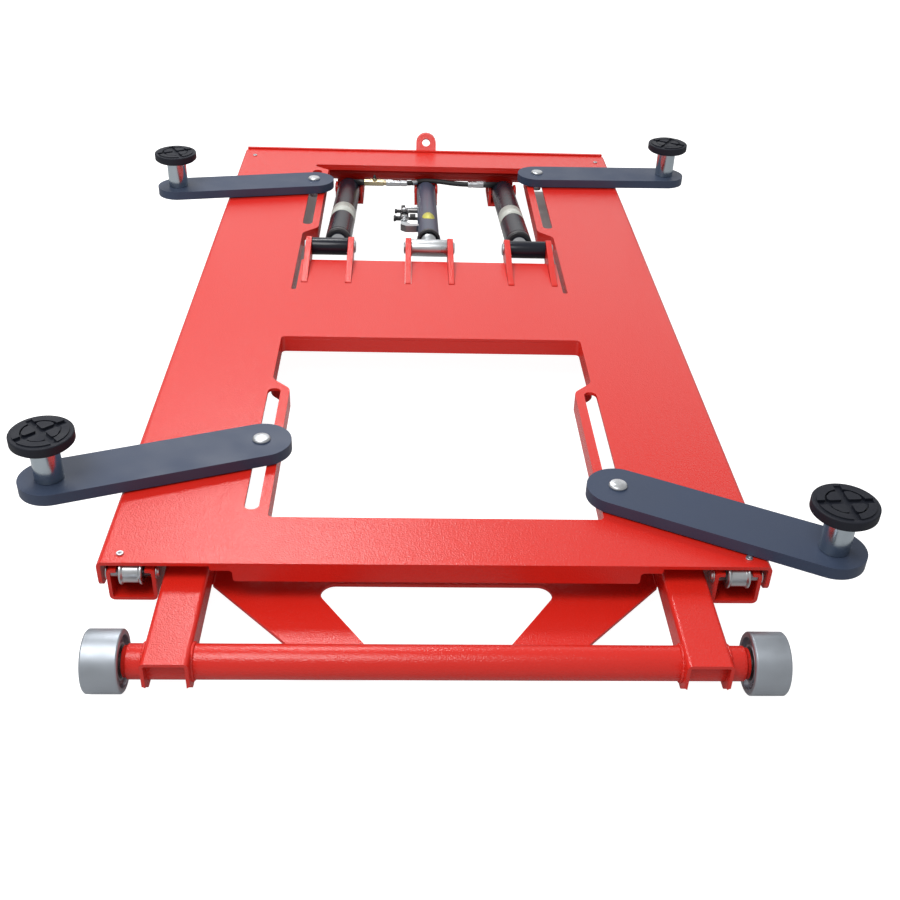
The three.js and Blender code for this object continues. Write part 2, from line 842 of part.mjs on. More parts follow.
// Box tube across the inner arms; the ears stand on it and rise through the notches of the deck
const crossTubeBottom = crossTubeTop - crossTubeHeight;
const crossTubeHalf = innerArmInside - seat;
function crossTube() {
  const far = crossTubeY + crossTubeWidth;
  return cut(
    block(-crossTubeHalf, crossTubeHalf, crossTubeY, far, crossTubeBottom, crossTubeTop),
    block(-crossTubeHalf - overrun, crossTubeHalf + overrun, crossTubeY + crossTubeWall,
      far - crossTubeWall, crossTubeBottom + crossTubeWall, crossTubeTop - crossTubeWall));
}

function earShape() {
  const foot = crossTubeTop - crossTubeWall / 2;
  const shape = new THREE.Shape();
  shape.moveTo(earRootY, foot);
  shape.lineTo(earRootY + earRootLength, foot);
  shape.absarc(rodPinY, rodPinZ, earHeadRadius, -Math.PI / 3, Math.PI / 2 + restAngle, false);
  shape.lineTo(earFootY, deckTop);
  shape.lineTo(earFootY, deckTop - earFootDepth);
  shape.lineTo(earRootY, deckTop - 2 * earFootDepth);
  return shape;
}
function earPlateAt(x) {
  const left = x - earPlate / 2;
  const right = x + earPlate / 2;
  return cut(plateYZ(earShape(), left, right, arcSegments),
    boreX(eyePinRadius + seat, left, right, rodPinY, rodPinZ));
}
add("ear_crossmember", join(crossTube(), earCentres.map(earPlateAt)), redPaint());

const earOutside = earGapHalf + earPlate;
function eyePin(centre) {
  return turnedX([
    [0, -earOutside - seat - eyePinHeadWidth],
    [eyePinHeadRadius, -earOutside - seat - eyePinHeadWidth],
    [eyePinHeadRadius, -earOutside - seat],
    [eyePinRadius, -earOutside - seat],
    [eyePinRadius, earOutside + seat],
    [eyePinHeadRadius, earOutside + seat],
    [eyePinHeadRadius, earOutside + seat + eyePinHeadWidth],
    [0, earOutside + seat + eyePinHeadWidth],
  ], rodPinY, rodPinZ, pinSides).translate(centre, 0, 0);
}
add("rod_eye_pin_left", eyePin(-eyeOffset), zinc());
add("rod_eye_pin_centre", eyePin(0), zinc());
add("rod_eye_pin_right", eyePin(eyeOffset), zinc());

// Outer arms
const outerSlope = (near, far, y) => near + (far - near) * y / basePivotY;
const outerFarBottom = axleZ - outerFarRadius;

function outerArmSide() {
  const rise = Math.asin((outerFarTop - axleZ) / outerFarRadius);
  const shape = new THREE.Shape();
  shape.moveTo(0, outerNearTop);
  shape.lineTo(0, outerNearBottom);
  shape.absarc(basePivotY, axleZ, outerFarRadius, -Math.PI / 2, rise, false);
  return shape;
}

function outerArm() {
  const farReach = basePivotY + outerFarRadius + overrun;
  const bottom = (y) => outerSlope(outerNearBottom, outerFarBottom, y);
  const top = (y) => outerSlope(outerNearTop, outerFarTop, y);
  const hollow = plateYZ(outline([
    [-overrun, bottom(-overrun) + outerArmWall], [farReach, bottom(farReach) + outerArmWall],
    [farReach, top(farReach) - outerArmWall], [-overrun, top(-overrun) - outerArmWall],
  ]), outerArmInside + outerArmWall, outerArmOutside - outerArmWall);
  const mouth = block(outerArmInside + outerLip, outerArmOutside - outerLip, -overrun, farReach,
    (outerNearBottom + outerFarTop) / 2, outerNearTop + overrun);
  const side = (radius, y, z) => boreX(radius, outerArmInside, outerArmOutside, y, z);
  return cut(plateYZ(outerArmSide(), outerArmInside, outerArmOutside, arcSegments),
    hollow, mouth, side(rollerAxleRadius + seat, rollerY, pivotZ),
    side(centrePinRadius + runningGap, centreY, centreZ),
    side(basePinRadius + runningGap, basePivotY, axleZ));
}
addPair("outer_arm", outerArm(), redPaint);

const rollerCentre = (outerArmInside + outerArmOutside) / 2;
const rollerAxleInside = outerArmInside - rollerAxleStickOut;
const clipPlace = outerArmInside - seat - clipThickness;
addPair("roller_axle", turnedX([
  [0, rollerAxleInside],
  [rollerAxleRadius, rollerAxleInside],
  [rollerAxleRadius, clipPlace],
  [clipRadius, clipPlace],
  [clipRadius, clipPlace + clipThickness],
  [rollerAxleRadius, clipPlace + clipThickness],
  [rollerAxleRadius, outerArmOutside + seat],
  [clipRadius, outerArmOutside + seat],
  [clipRadius, outerArmOutside + seat + clipThickness],
  [0, outerArmOutside + seat + clipThickness],
], rollerY, pivotZ, pinSides), zinc);

const rollerLeftEnd = rollerCentre - rollerWidth / 2;
const rollerRightEnd = rollerCentre + rollerWidth / 2;
const rollerBore = boreRadius(rollerAxleRadius + runningGap, roundSides);
addPair("roller", turnedX([
  [rollerBore, rollerLeftEnd],
  [rollerRadius, rollerLeftEnd],
  [rollerRadius, rollerLeftEnd + rollerFlange],
  [rollerWaist, rollerLeftEnd + 2 * rollerFlange],
  [rollerWaist, rollerRightEnd - 2 * rollerFlange],
  [rollerRadius, rollerRightEnd - rollerFlange],
  [rollerRadius, rollerRightEnd],
  [rollerBore, rollerRightEnd],
  [rollerBore, rollerLeftEnd],
], rollerY, pivotZ), zinc);

// Centre pivots
const centrePinInside = innerArmInside - seat;
addPair("centre_pivot_pin", turnedX([
  [0, centrePinInside - centrePinHeadWidth],
  [centrePinHeadRadius, centrePinInside - centrePinHeadWidth],
  [centrePinHeadRadius, centrePinInside],
  [centrePinRadius, centrePinInside],
  [centrePinRadius, outerArmOutside + seat],
  [centrePinHeadRadius, outerArmOutside + seat],
  [centrePinHeadRadius, outerArmOutside + seat + centrePinHeadWidth],
  [0, outerArmOutside + seat + centrePinHeadWidth],
], centreY, centreZ, pinSides), zinc);

// Wheels, each with its bearing pressed in
function wheelProfile() {
  const webInside = wheelInside + wheelRecess;
  const rimRadius = wheelRadius - wheelRim;
  const bore = boreRadius(spindleRadius + runningGap, wheelSides);
  const hub = bearingRadius + bearingLip;
  const hubInside = wheelInside + wheelHubInset;
  const crown = wheelRim / 4;
  return [
    [bore, hubInside],
    [hub, hubInside],
    [hub, webInside],
    [rimRadius, webInside],
    [rimRadius, wheelInside],
    [wheelRadius - crown, wheelInside],
    [wheelRadius, wheelInside + crown],
    [wheelRadius, wheelOutside - crown],
    [wheelRadius - crown, wheelOutside],
    [rimRadius, wheelOutside],
    [rimRadius, webOutside - bearingLip],
    [bearingRadius, webOutside - bearingLip],
    [bearingRadius, webOutside],
    [bore, webOutside],
    [bore, hubInside],
  ];
}
addPair("wheel", turnedX(wheelProfile(), axleY, axleZ, wheelSides), zinc);

// Cylinders and lock: a group whose Y runs from the eye pin down to the anchor
const cylinders = new THREE.Group();
cylinders.position.set(0, rodPinY, rodPinZ);
cylinders.rotation.x = -cylinderTilt;
machine.add(cylinders);

function addCylinderPair(name, geometry, makePaint) {
  addPair(name, geometry.clone().translate(cylinderOffset, 0, 0), makePaint, cylinders);
}

const eyeHalfWidth = earGapHalf - seat;
function rodWithEye(profile, count, eyeCentre = 0) {
  const [left, right] = [eyeCentre - eyeHalfWidth, eyeCentre + eyeHalfWidth];
  const eye = rodX(eyeRadius, left, right, 0, 0);
  const bore = boreX(eyePinRadius + runningGap, left, right, 0, 0);
  return cut(join(eye, turned(profile, count)), bore);
}
const barrelBore = barrelRadius - barrelWall;
addCylinderPair("piston_rod", rodWithEye([
  [0, 0],
  [rodRadius, 0],
  [rodRadius, rodLength - pistonLength],
  [barrelBore - runningGap, rodLength - pistonLength],
  [barrelBore - runningGap, rodLength],
  [0, rodLength],
], roundSides, cylinderInboard), chrome);

// Barrel with its end plug and the tongue that sits between the anchor lugs
function tongueWithEye(start, halfWidth, bushHalfWidth, radius, low, high) {
  const shape = new THREE.Shape();
  shape.moveTo(start, low);
  shape.absarc(cylinderLength, 0, radius, -Math.PI / 2, Math.PI / 2, false);
  shape.lineTo(start, high);
  const body = plateYZ(shape, -halfWidth, halfWidth, arcSegments);
  const bush = rodX(radius - footBushStep, -bushHalfWidth, bushHalfWidth, cylinderLength, 0);
  return cut(join(body, bush), boreX(footPinRadius + seat, -bushHalfWidth, bushHalfWidth,
    cylinderLength, 0));
}
const barrelEnd = cylinderLength - footLength + barrelEndPlug;
const glandStart = barrelStart - glandLength;
function barrel() {
  const tube = turned([
    [0, barrelEnd - barrelEndPlug],
    [barrelBore, barrelEnd - barrelEndPlug],
    [barrelBore, barrelStart],
    [rodRadius + runningGap, barrelStart],
    [rodRadius + runningGap, glandStart],
    [barrelRadius - glandChamfer, glandStart],
    [barrelRadius, glandStart + glandChamfer],
    [barrelRadius, barrelEnd],
    [0, barrelEnd],
  ]);
  const tongueBody = tongueWithEye(barrelEnd - barrelEndPlug / 2, footHalfWidth, barrelRadius,
    footRadius, -footRadius, footRadius);
  return join(tube, tongueBody);
}
addCylinderPair("cylinder_barrel", barrel(), barrelPaint);

// Rod of the lock, with ring notches that the pawl drops into
function lockRodProfile() {
  const profile = [[0, 0], [lockRodRadius, 0]];
  for (let i = 0; i < notchCount; i++) {
    const start = notchFirst + i * notchPitch;
    profile.push([lockRodRadius, start]);
    profile.push([lockRodRadius - notchDepth, start]);
    profile.push([lockRodRadius - notchDepth, start + notchWidth - notchDepth]);
    profile.push([lockRodRadius, start + notchWidth]);
  }
  profile.push([lockRodRadius, rodLength], [0, rodLength]);
  return profile;
}
add("lock_rod", rodWithEye(lockRodProfile(), pinSides), zinc(), cylinders);

const lockBore = lockTubeRadius - lockTubeWall;
const lockTubeEnd = cylinderLength - lockTubeEndGap;
const pawlWindow = block(-2 * lockTubeRadius, 0, pawlAlong - pawlRadius, pawlHinge + pawlRadius,
  -pawlHeight / 2 - seat, pawlHeight / 2 + seat);
function lockTube() {
  const tube = turned([
    [0, lockTubeEnd - barrelEndPlug],
    [lockBore, lockTubeEnd - barrelEndPlug],
    [lockBore, lockTubeStart],
    [lockCollarRadius, lockTubeStart],
    [lockCollarRadius, lockTubeStart + lockCollarLength],
    [lockTubeRadius, lockTubeStart + lockCollarLength],
    [lockTubeRadius, lockTubeEnd],
    [0, lockTubeEnd],
  ]);
  const tongueBody = tongueWithEye(lockTubeEnd - barrelEndPlug / 2, lockFootHalfWidth,
    lockTubeRadius, footRadius, -footRadius, -lockFootDrop);
  const open = cut(join(tube, tongueBody), pawlWindow);
  return join(open, latchLugs, latchHingePin, latchPosts, latchStop);
}

// Latch bracket: two lugs with a hinge pin carry the pawl, and two posts the small actuator
const tubeSurface = -lockTubeRadius + lockTubeWall / 2;
const latchLugs = sides.map((side) => {
  const from = side * (pawlHeight / 2 + 2 * seat);
  const to = from + side * latchLugPlate;
  return block(-latchOffset - pawlRadius, tubeSurface + lockTubeWall,
    pawlHinge - pawlRadius, pawlHinge + pawlRadius, Math.min(from, to), Math.max(from, to));
});
const latchHingePin = turnedZ([
  [0, -pawlHeight / 2 - latchLugPlate],
  [pawlPinRadius, -pawlHeight / 2 - latchLugPlate],
  [pawlPinRadius, pawlHeight / 2 + latchLugPlate],
  [0, pawlHeight / 2 + latchLugPlate],
], -latchOffset, pawlHinge, smallSides);
const latchPosts = [latchStart + latchCapLength / 2, latchStart + latchLength - latchCapLength / 2]
  .map((place) => rodX(latchPostRadius, -latchOffset + latchCapRadius + seat, tubeSurface,
    place, 0, smallSides));
const latchStop = turnedX([
  [0, -latchOffset - latchPinHeadLength],
  [latchPinHeadRadius, -latchOffset - latchPinHeadLength],
  [latchPinHeadRadius, -latchOffset],
  [latchPinRadius, -latchOffset],
  [latchPinRadius, tubeSurface],
  [0, tubeSurface],
], latchPinAlong, 0, smallSides);
add("lock_tube", lockTube(), lockPaint(), cylinders);

const latchEnd = latchStart + latchLength;
const rodEndPlace = pawlHinge + pawlRadius + 2 * seat;
const latchRod = turned([
  [0, rodEndPlace],
  [latchRadius / 2, rodEndPlace],
  [latchRadius / 2, latchStart],
  [latchCapRadius, latchStart],
  [latchCapRadius, latchStart + latchCapLength],
  [latchRadius, latchStart + latchCapLength],
  [latchRadius, latchEnd - latchCapLength],
  [latchCapRadius, latchEnd - latchCapLength],
  [latchCapRadius, latchEnd],
  [0, latchEnd],
], smallSides).translate(-latchOffset, 0, 0);
function fitting(place) {
  const start = -latchOffset - latchCapRadius / 2;
  return rodX(fittingRadius, start - fittingLength, start, place, 0, smallSides);
}
add("latch_actuator", join(latchRod, fitting(latchStart + latchCapLength / 2),
  fitting(latchEnd - latchCapLength / 2)), zinc(), cylinders);

// Pawl: a short lever that hinges outside the tube and reaches through its window to the rod
function pawl() {
  const tip = -lockRodRadius - 2 * seat;
  const shape = outline([
    [-latchOffset - pawlWidth / 2, pawlHinge + pawlRadius, pawlRadius * cornerShare],
    [-latchOffset - pawlWidth / 2, pawlAlong - pawlRadius, pawlRadius],
    [tip, pawlAlong - pawlRadius + pawlWidth / 2, notchDepth / 2],
    [tip, pawlAlong + pawlWidth / 2, notchDepth / 2],
    [-latchOffset + pawlWidth / 2, pawlHinge + pawlRadius, pawlRadius * cornerShare],
  ]);
  return cut(plateXY(shape, -pawlHeight / 2, pawlHeight / 2), turnedZ([
    [0, -pawlHeight], [pawlPinRadius + runningGap, -pawlHeight],
    [pawlPinRadius + runningGap, pawlHeight], [0, pawlHeight],
  ], -latchOffset, pawlHinge, smallSides));
}
add("latch_pawl", pawl(), zinc(), cylinders);

// Hose from the left barrel behind the lock tube to the right barrel
const leftFerruleEnd = cylinderOffset * leftFerruleShare;
const rightFerruleEnd = cylinderOffset * rightFerruleShare;
const hoseLine = new THREE.Curve();
// It runs straight out of its ferrules and swings in two even bends behind the end of the lock tube
hoseLine.getPoint = (t, target = new THREE.Vector3()) => {
  const start = -leftFerruleEnd + seat;
  const end = rightFerruleEnd - seat;
  const x = start + (end - start) * t;
  const out = x < 0 ? x / start : x / end;
  const sway = out < 1 / 2 ? 1 - 2 * out ** 2 : 2 * (1 - out) ** 2;
  return target.set(x, hoseY + (hoseBackY - hoseY) * sway, hoseZ + hoseRise * sway);
};
function hose() {
  const section = new THREE.Shape(new THREE.EllipseCurve(0, 0, hoseRadius, hoseRadius)
    .getPoints(smallSides / 2).slice(0, -1));
  return new THREE.ExtrudeGeometry(section, { steps: hoseSteps, extrudePath: hoseLine });
}
add("hydraulic_hose", hose(), blackRubber());

function fittingsAlongX(profile) {
  return turnedX(profile, hoseY, hoseZ, smallSides);
}
// The ports end in saddles cut to the round of the barrels
function besideBarrel(fitting, side) {
  const round = turned([[0, barrelStart], [barrelRadius + seat, barrelStart],
    [barrelRadius + seat, barrelEnd + overrun], [0, barrelEnd + overrun]]);
  const tool = round.translate(side * cylinderOffset, 0, 0).rotateX(-cylinderTilt)
    .translate(0, rodPinY, rodPinZ);
  return cut(fitting, tool);
}
const leftFittings = fittingsAlongX([
  [0, -cylinderOffset],
  [portRadius, -cylinderOffset],
  [portRadius, -cylinderOffset * leftPortShare],
  [hexRadius, -cylinderOffset * leftPortShare],
  [hexRadius, -cylinderOffset * teeEndShare],
  [portRadius - fittingStep, -cylinderOffset * teeEndShare],
  [portRadius - fittingStep, -cylinderOffset * leftNutStartShare],
  [hexRadius, -cylinderOffset * leftNutStartShare],
  [hexRadius, -cylinderOffset * leftNutEndShare],
  [ferruleRadius, -cylinderOffset * leftNutEndShare],
  [ferruleRadius, -leftFerruleEnd],
  [0, -leftFerruleEnd],
]);
add("hose_fittings_left", besideBarrel(leftFittings, -1), zinc());
const rightFittings = fittingsAlongX([
  [0, rightFerruleEnd],
  [ferruleRadius, rightFerruleEnd],
  [ferruleRadius, cylinderOffset * rightNutEndShare],
  [hexRadius, cylinderOffset * rightNutEndShare],
  [hexRadius, cylinderOffset * rightNutStartShare],
  [portRadius, cylinderOffset * rightNutStartShare],
  [portRadius, cylinderOffset],
  [0, cylinderOffset],
]);
add("hose_fittings_right", besideBarrel(rightFittings, 1), zinc());

// Base
const rearBarEnd = endPlateY + endPlate;
const barRanges = [
  [-endPlateHalfWidth, -sideBarInside],
  [-cylinderOffset - cylinderBarHalfWidth, -cylinderOffset + cylinderBarHalfWidth],
  [-lockBarHalfWidth, lockBarHalfWidth],
  [cylinderOffset - cylinderBarHalfWidth, cylinderOffset + cylinderBarHalfWidth],
  [sideBarInside, endPlateHalfWidth],
];
function barBlock([left, right]) {
  return block(left, right, floorBarStart, rearBarEnd, 0, floorBar);
}

function standingLug(left, right, y, z, radius, near, far) {
  const foot = floorBar / 2;
  const shape = new THREE.Shape();
  shape.moveTo(near, foot);
  shape.lineTo(far, foot);
  shape.absarc(y, z, radius, 0, Math.PI, false);
  return plateYZ(shape, left, right, arcSegments);
}

// The lugs of the base pivot reach back to the end plate, level with the top of the eye
function pivotLug([left, right]) {
  const foot = floorBar / 2;
  const far = endPlateY - seat;
  const shape = new THREE.Shape();
  shape.moveTo(basePivotY - baseLugRadius, foot);
  shape.lineTo(far, foot);
  shape.lineTo(far, axleZ + baseLugRadius);
  shape.absarc(basePivotY, axleZ, baseLugRadius, Math.PI / 2, Math.PI, false);
  return plateYZ(shape, left, right, arcSegments);
}

// Each side bar carries the two lugs of its base pivot
const outerBaseLug = outerArmOutside + lugSideGap;
const baseLugs = [
  [innerLugEnd - baseLugPlate, innerLugEnd],
  [outerBaseLug, outerBaseLug + baseOuterLugPlate],
];
function sideBar() {
  return cut(join(barBlock(barRanges[4]), baseLugs.map(pivotLug)), boreX(basePinRadius + seat, baseLugs[0][0],
    baseLugs[1][1], basePivotY, axleZ));
}
addPair("side_floor_bar", sideBar(), redPaint);
const baseTubeEnd = baseLugs[0][0] - seat;
add("base_cross_tube", turnedX(sleeve(baseTubeRadius - baseTubeWall, baseTubeRadius, -baseTubeEnd,
  baseTubeEnd), basePivotY + baseTubeBeyondPivot, axleZ + baseTubeAbovePivot), redPaint());
addPair("base_pivot_pin", rodX(basePinRadius, baseLugs[0][0], baseLugs[1][1], basePivotY, axleZ,
  pinSides), zinc);

// Bars under the cylinders and the lock carry lugs, each with a short pin for the foot between
const anchorNear = anchorY - anchorLugRadius;
function anchorBar(range, centre, half, lugPlate) {
  const lugStart = half + anchorSideGap;
  const lugEnd = lugStart + lugPlate;
  const lug = standingLug(lugStart, lugEnd, anchorY, anchorZ, anchorLugRadius, anchorNear,
    anchorNear + anchorLugBase);
  const pinHead = rodX(anchorHeadRadius, lugEnd - lugPlate / 2, lugEnd + anchorHeadWidth,
    anchorY, anchorZ, smallSides);
  const rightHalf = join(lug, pinHead);
  const lugs = [rightHalf, mirrored(rightHalf)].map((half2) => half2.translate(centre, 0, 0));
  return join(barBlock(range), lugs);
}
add("cylinder_bar_left", anchorBar(barRanges[1], -cylinderOffset, barrelRadius,
  cylinderLugPlate), redPaint());
add("lock_bar", anchorBar(barRanges[2], 0, lockTubeRadius, lockLugPlate), redPaint());
add("cylinder_bar_right", anchorBar(barRanges[3], cylinderOffset, barrelRadius,
  cylinderLugPlate), redPaint());

// Tow eye: a flat bar up the back of the end plate, bent back, with a round top and a hole
function towEye() {
  const lean = towEyeAngle * degree;
  const top = deckTop + towEyeAboveDeck;
  const near = rearBarEnd - endPlate / 4;
  const back = (top - towEyeBend) * Math.tan(lean);
  const across = towEyePlate / Math.cos(lean);
  const bent = plateYZ(outline([
    [near, towEyeLegBottom],
    [near + towEyePlate, towEyeLegBottom],
    [near + towEyePlate, towEyeBend],
    [near + across + back, top],
    [near + back, top],
    [near, towEyeBend],
  ]), -towEyeWidth / 2, towEyeWidth / 2);
  const radius = towEyeWidth / 2;
  const front = new THREE.Shape();
  front.moveTo(-radius, towEyeLegBottom - overrun);
  front.lineTo(radius, towEyeLegBottom - overrun);
  front.absellipse(0, top - radius * Math.cos(lean), radius, radius * Math.cos(lean),
    0, Math.PI, false);
  const rounded = keepInside(bent, plateXZ(front, near - overrun, near + 2 * across + back,
    2 * arcSegments));
  const holeZ = top - radius * Math.cos(lean);
  const holeY = near + across / 2 + (holeZ - towEyeBend) * Math.tan(lean);
  const drill = turned([
    [0, -towEyePlate], [towEyeHoleRadius, -towEyePlate], [towEyeHoleRadius, towEyePlate],
    [0, towEyePlate],
  ], smallSides).rotateX(-lean).translate(0, holeY, holeZ);
  return cut(rounded, drill);
}
// The end plate stands on the floor bars and is open between them
function makeEndPlate() {
  const windows = barRanges.slice(1).map(([right], i) => block(barRanges[i][1], right,
    endPlateY - overrun, rearBarEnd + overrun, -overrun, endPlateWindowTop));
  const plate = block(-endPlateHalfWidth, endPlateHalfWidth, endPlateY, rearBarEnd,
    floorBar + seat, deckTop + endPlateAboveDeck);
  return cut(plate, windows);
}
add("end_plate", join(makeEndPlate(), towEye()), redPaint());

// Swing arms: each one turns about a bolt that slides in its slot and carries a pad on a post
const armLow = deckTop + armLift;
const armHigh = armLow + armPlate;

function slideBolt() {
  const washerHigh = armLow - seat;
  return turned([
    [0, deckUnder - seat - lowerWasherThickness - nutHeight],
    [nutRadius, deckUnder - seat - lowerWasherThickness - nutHeight],
    [nutRadius, deckUnder - seat - lowerWasherThickness],
    [lowerWasherRadius, deckUnder - seat - lowerWasherThickness],
    [lowerWasherRadius, deckUnder - seat],
    [slotWidth / 2 - runningGap, deckUnder - seat],
    [slotWidth / 2 - runningGap, deckTop + seat],
    [slideWasherRadius, deckTop + seat],
    [slideWasherRadius, washerHigh],
    [boltRadius, washerHigh],
    [boltRadius, armHigh + seat],
    [boltHeadRadius, armHigh + seat],
    [boltHeadRadius, armHigh + seat + boltHeadHeight - boltCrown],
    [boltHeadRadius * boltCrownShare, armHigh + seat + boltHeadHeight],
    [0, armHigh + seat + boltHeadHeight],
  ], pinSides).rotateX(Math.PI / 2);
}

function swingArm() {
  const shape = new THREE.Shape();
  shape.absarc(0, 0, armWidth / 2, Math.PI / 2, 3 * Math.PI / 2, false);
  shape.absarc(armLength, 0, armWidth / 2, -Math.PI / 2, Math.PI / 2, false);
  shape.holes.push(hole(0, 0, boreRadius(boltRadius + runningGap, pinSides)));
  shape.holes.push(hole(armLength, 0, boreRadius(postShankRadius + runningGap, pinSides)));
  return plateXY(shape, armLow, armHigh, pinSides / 2);
}

const postLow = armHigh + seat;
const postHigh = postLow + postHeight;
function padPost() {
  return turned([
    [0, armLow], [postShankRadius, armLow], [postShankRadius, postLow], [postRadius, postLow],
    [postRadius, postHigh], [postRadius - postWall, postHigh],
    [postRadius - postWall, postHigh - postWall], [0, postHigh - postWall],
  ]).rotateX(Math.PI / 2).translate(armLength, 0, 0);
}

// Sector of a ring between two radii, cut back by half a channel at each side
function sector(inner, outer, start) {
  const edge = (radius) => Math.asin(padChannel / 2 / radius);
  const end = start + Math.PI / 2;
  const shape = new THREE.Shape();
  shape.absarc(0, 0, outer, start + edge(outer), end - edge(outer), false);
  shape.absarc(0, 0, inner, end - edge(inner), start + edge(inner), true);
  return shape;
}

function rubberPad() {
  const low = postHigh + seat;
  const high = low + padThickness;
  const land = high - padRelief;
  const rimInner = padRadius - padRimWidth;
  const arcInner = rimInner - padArcWidth;
  const petalOuter = arcInner - padGroove;
  const dish = turned([
    [0, low], [padRadius - padRimWidth, low], [padRadius, low + padRimWidth],
    [padRadius, high], [rimInner, high], [rimInner, land], [padHubRadius, land],
    [padHubRadius, land + padRelief / 2], [0, land + padRelief / 2],
  ], roundSides).rotateX(Math.PI / 2);
  const treads = [];
  for (let quarter = 0; quarter < 4; quarter++) {
    const start = quarter * Math.PI / 2;
    const low2 = land - padRelief / 2;
    treads.push(plateXY(sector(arcInner, rimInner + padRimWidth / 2, start), low2, high,
      arcSegments - 1));
    treads.push(plateXY(sector(padHubRadius + padGroove, petalOuter, start + Math.PI / 4), low2,
      high, arcSegments - 1));
  }
  return join(dish, treads).translate(armLength, 0, 0);
}

const boltGeometry = slideBolt();
const armGeometry = swingArm();
const postGeometry = padPost();
const padGeometry = rubberPad();
function addArm(name, side, pivotY, angle) {
  const arm = new THREE.Group();
  arm.position.set(side * slotOffset, pivotY, 0);
  arm.rotation.z = side > 0 ? angle * degree : Math.PI - angle * degree;
  machine.add(arm);
  add("slide_bolt_" + name, boltGeometry, zinc(), arm);
  add("swing_arm_" + name, armGeometry, armPaint(), arm);
  add("pad_post_" + name, postGeometry, zinc(), arm);
  add("rubber_pad_" + name, padGeometry, blackRubber(), arm);
}
const alongNearSlot = (share) => nearSlotStart + nearSlotLength * share;
const alongFarSlot = (share) => farSlotStart + farSlotLength * share;
addArm("near_left", -1, alongNearSlot(nearLeftBoltShare), nearLeftAngle);
addArm("near_right", 1, alongNearSlot(nearRightBoltShare), nearRightAngle);
addArm("far_left", -1, alongFarSlot(farLeftBoltShare), farLeftAngle);
addArm("far_right", 1, alongFarSlot(farRightBoltShare), farRightAngle);

export default lift;
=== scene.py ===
# %% [markdown]
# # A mobile scissor car lift, lowered
# The real lift is a red steel platform on two pairs of crossed arms, with two cylinders, a safety
# lock and four swing arms that carry rubber pads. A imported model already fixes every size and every
# joint. This lesson dresses that model in Blender: it loads the frame, and then it builds each piece
# where the frame says it is, with rounded edges, welds and painted, plated and moulded finishes.

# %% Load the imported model
import math

import bmesh
import bpy
from mathutils import Matrix, Vector


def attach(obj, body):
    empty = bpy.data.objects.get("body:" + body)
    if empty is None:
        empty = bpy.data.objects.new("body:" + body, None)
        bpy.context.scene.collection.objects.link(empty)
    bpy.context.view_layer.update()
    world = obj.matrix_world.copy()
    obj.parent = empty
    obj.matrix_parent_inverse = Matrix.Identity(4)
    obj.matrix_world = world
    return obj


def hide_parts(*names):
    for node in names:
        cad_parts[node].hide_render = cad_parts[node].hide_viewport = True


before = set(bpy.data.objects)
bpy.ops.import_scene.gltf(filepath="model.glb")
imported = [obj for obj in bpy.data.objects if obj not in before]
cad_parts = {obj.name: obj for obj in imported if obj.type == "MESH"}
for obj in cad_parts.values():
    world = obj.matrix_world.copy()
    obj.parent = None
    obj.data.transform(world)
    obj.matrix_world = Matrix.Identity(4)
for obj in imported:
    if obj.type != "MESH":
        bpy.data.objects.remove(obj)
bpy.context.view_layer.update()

# %% [markdown]
# ## Units and places
# The drawing of the lift is in millimetres, measured from the near edge of the platform. Blender
# works in metres, and its origin lies under the base pivot. Two numbers join them, so every place
# below can be read off the drawing.

# %% Units and places
MM = 0.001
PIVOT_Y = 1765.0
SIDES = (-1, 1)


def in_frame(x, y, z):
    return Vector((x * MM, (y - PIVOT_Y) * MM, z * MM))


def placed(name, data):
    """An object that holds the data, put into the scene."""
    made = bpy.data.objects.new(name, data)
    bpy.context.scene.collection.objects.link(made)
    return made


# %% [markdown]
# ## Camera
# A camera is a place, a turn and a focal length. These were fitted to the corners of the platform
# and then to the outline of the lift: the photographer stood behind the wheeled end, held the camera
# at chest height and looked down by about a third of a right angle. The focal length is in pixels of
# a 900 pixel picture, so it is scaled to the width of the sensor.

# %% Camera
PICTURE_PIXELS = 900
FOCAL_PIXELS = 1139.6
SENSOR_MM = 36.0
CAMERA_PLACE = Vector((-0.0528, -3.0691, 1.1765))
YAW, PITCH, ROLL = (math.radians(angle) for angle in (2.79, 33.53, 2.19))


def camera_axes(yaw, pitch, roll):
    forward = Vector((math.sin(yaw), math.cos(yaw), 0))
    right = Vector((math.cos(yaw), -math.sin(yaw), 0))
    up = Vector((0, 0, 1))
    ahead = math.cos(pitch) * forward - math.sin(pitch) * up
    top = math.sin(pitch) * forward + math.cos(pitch) * up
    across = math.cos(roll) * right + math.sin(roll) * top
    return across, -math.sin(roll) * right + math.cos(roll) * top, -ahead


lens = bpy.data.cameras.new("photo_camera")
lens.sensor_width = SENSOR_MM
lens.lens = FOCAL_PIXELS * SENSOR_MM / PICTURE_PIXELS
camera = placed("photo_camera", lens)
turn = Matrix(camera_axes(YAW, PITCH, ROLL)).transposed()
camera.matrix_world = Matrix.Translation(CAMERA_PLACE) @ turn.to_4x4()
bpy.context.scene.camera = camera
print("lens", round(lens.lens, 2), "mm")

# %% [markdown]
# ## Node helpers
# A shader or a geometry tree is a set of nodes and the links between them. Made by hand they would
# be dozens of nearly equal lines, so three small helpers do it: one adds a node with its values, one
# joins sockets, and one starts a group with named sockets.

# %% Node helpers
def add_node(tree, kind, values=None, **settings):
    made = tree.nodes.new(kind)
    for key, value in settings.items():
        setattr(made, key, value)
    for key, value in (values or {}).items():
        made.inputs[key].default_value = value
    return made


def wire(tree, *joins):
    """Joins sockets; a join is a node, its output, the next node and its input."""
    for source, output, target, socket in joins:
        tree.links.new(source.outputs[output], target.inputs[socket])


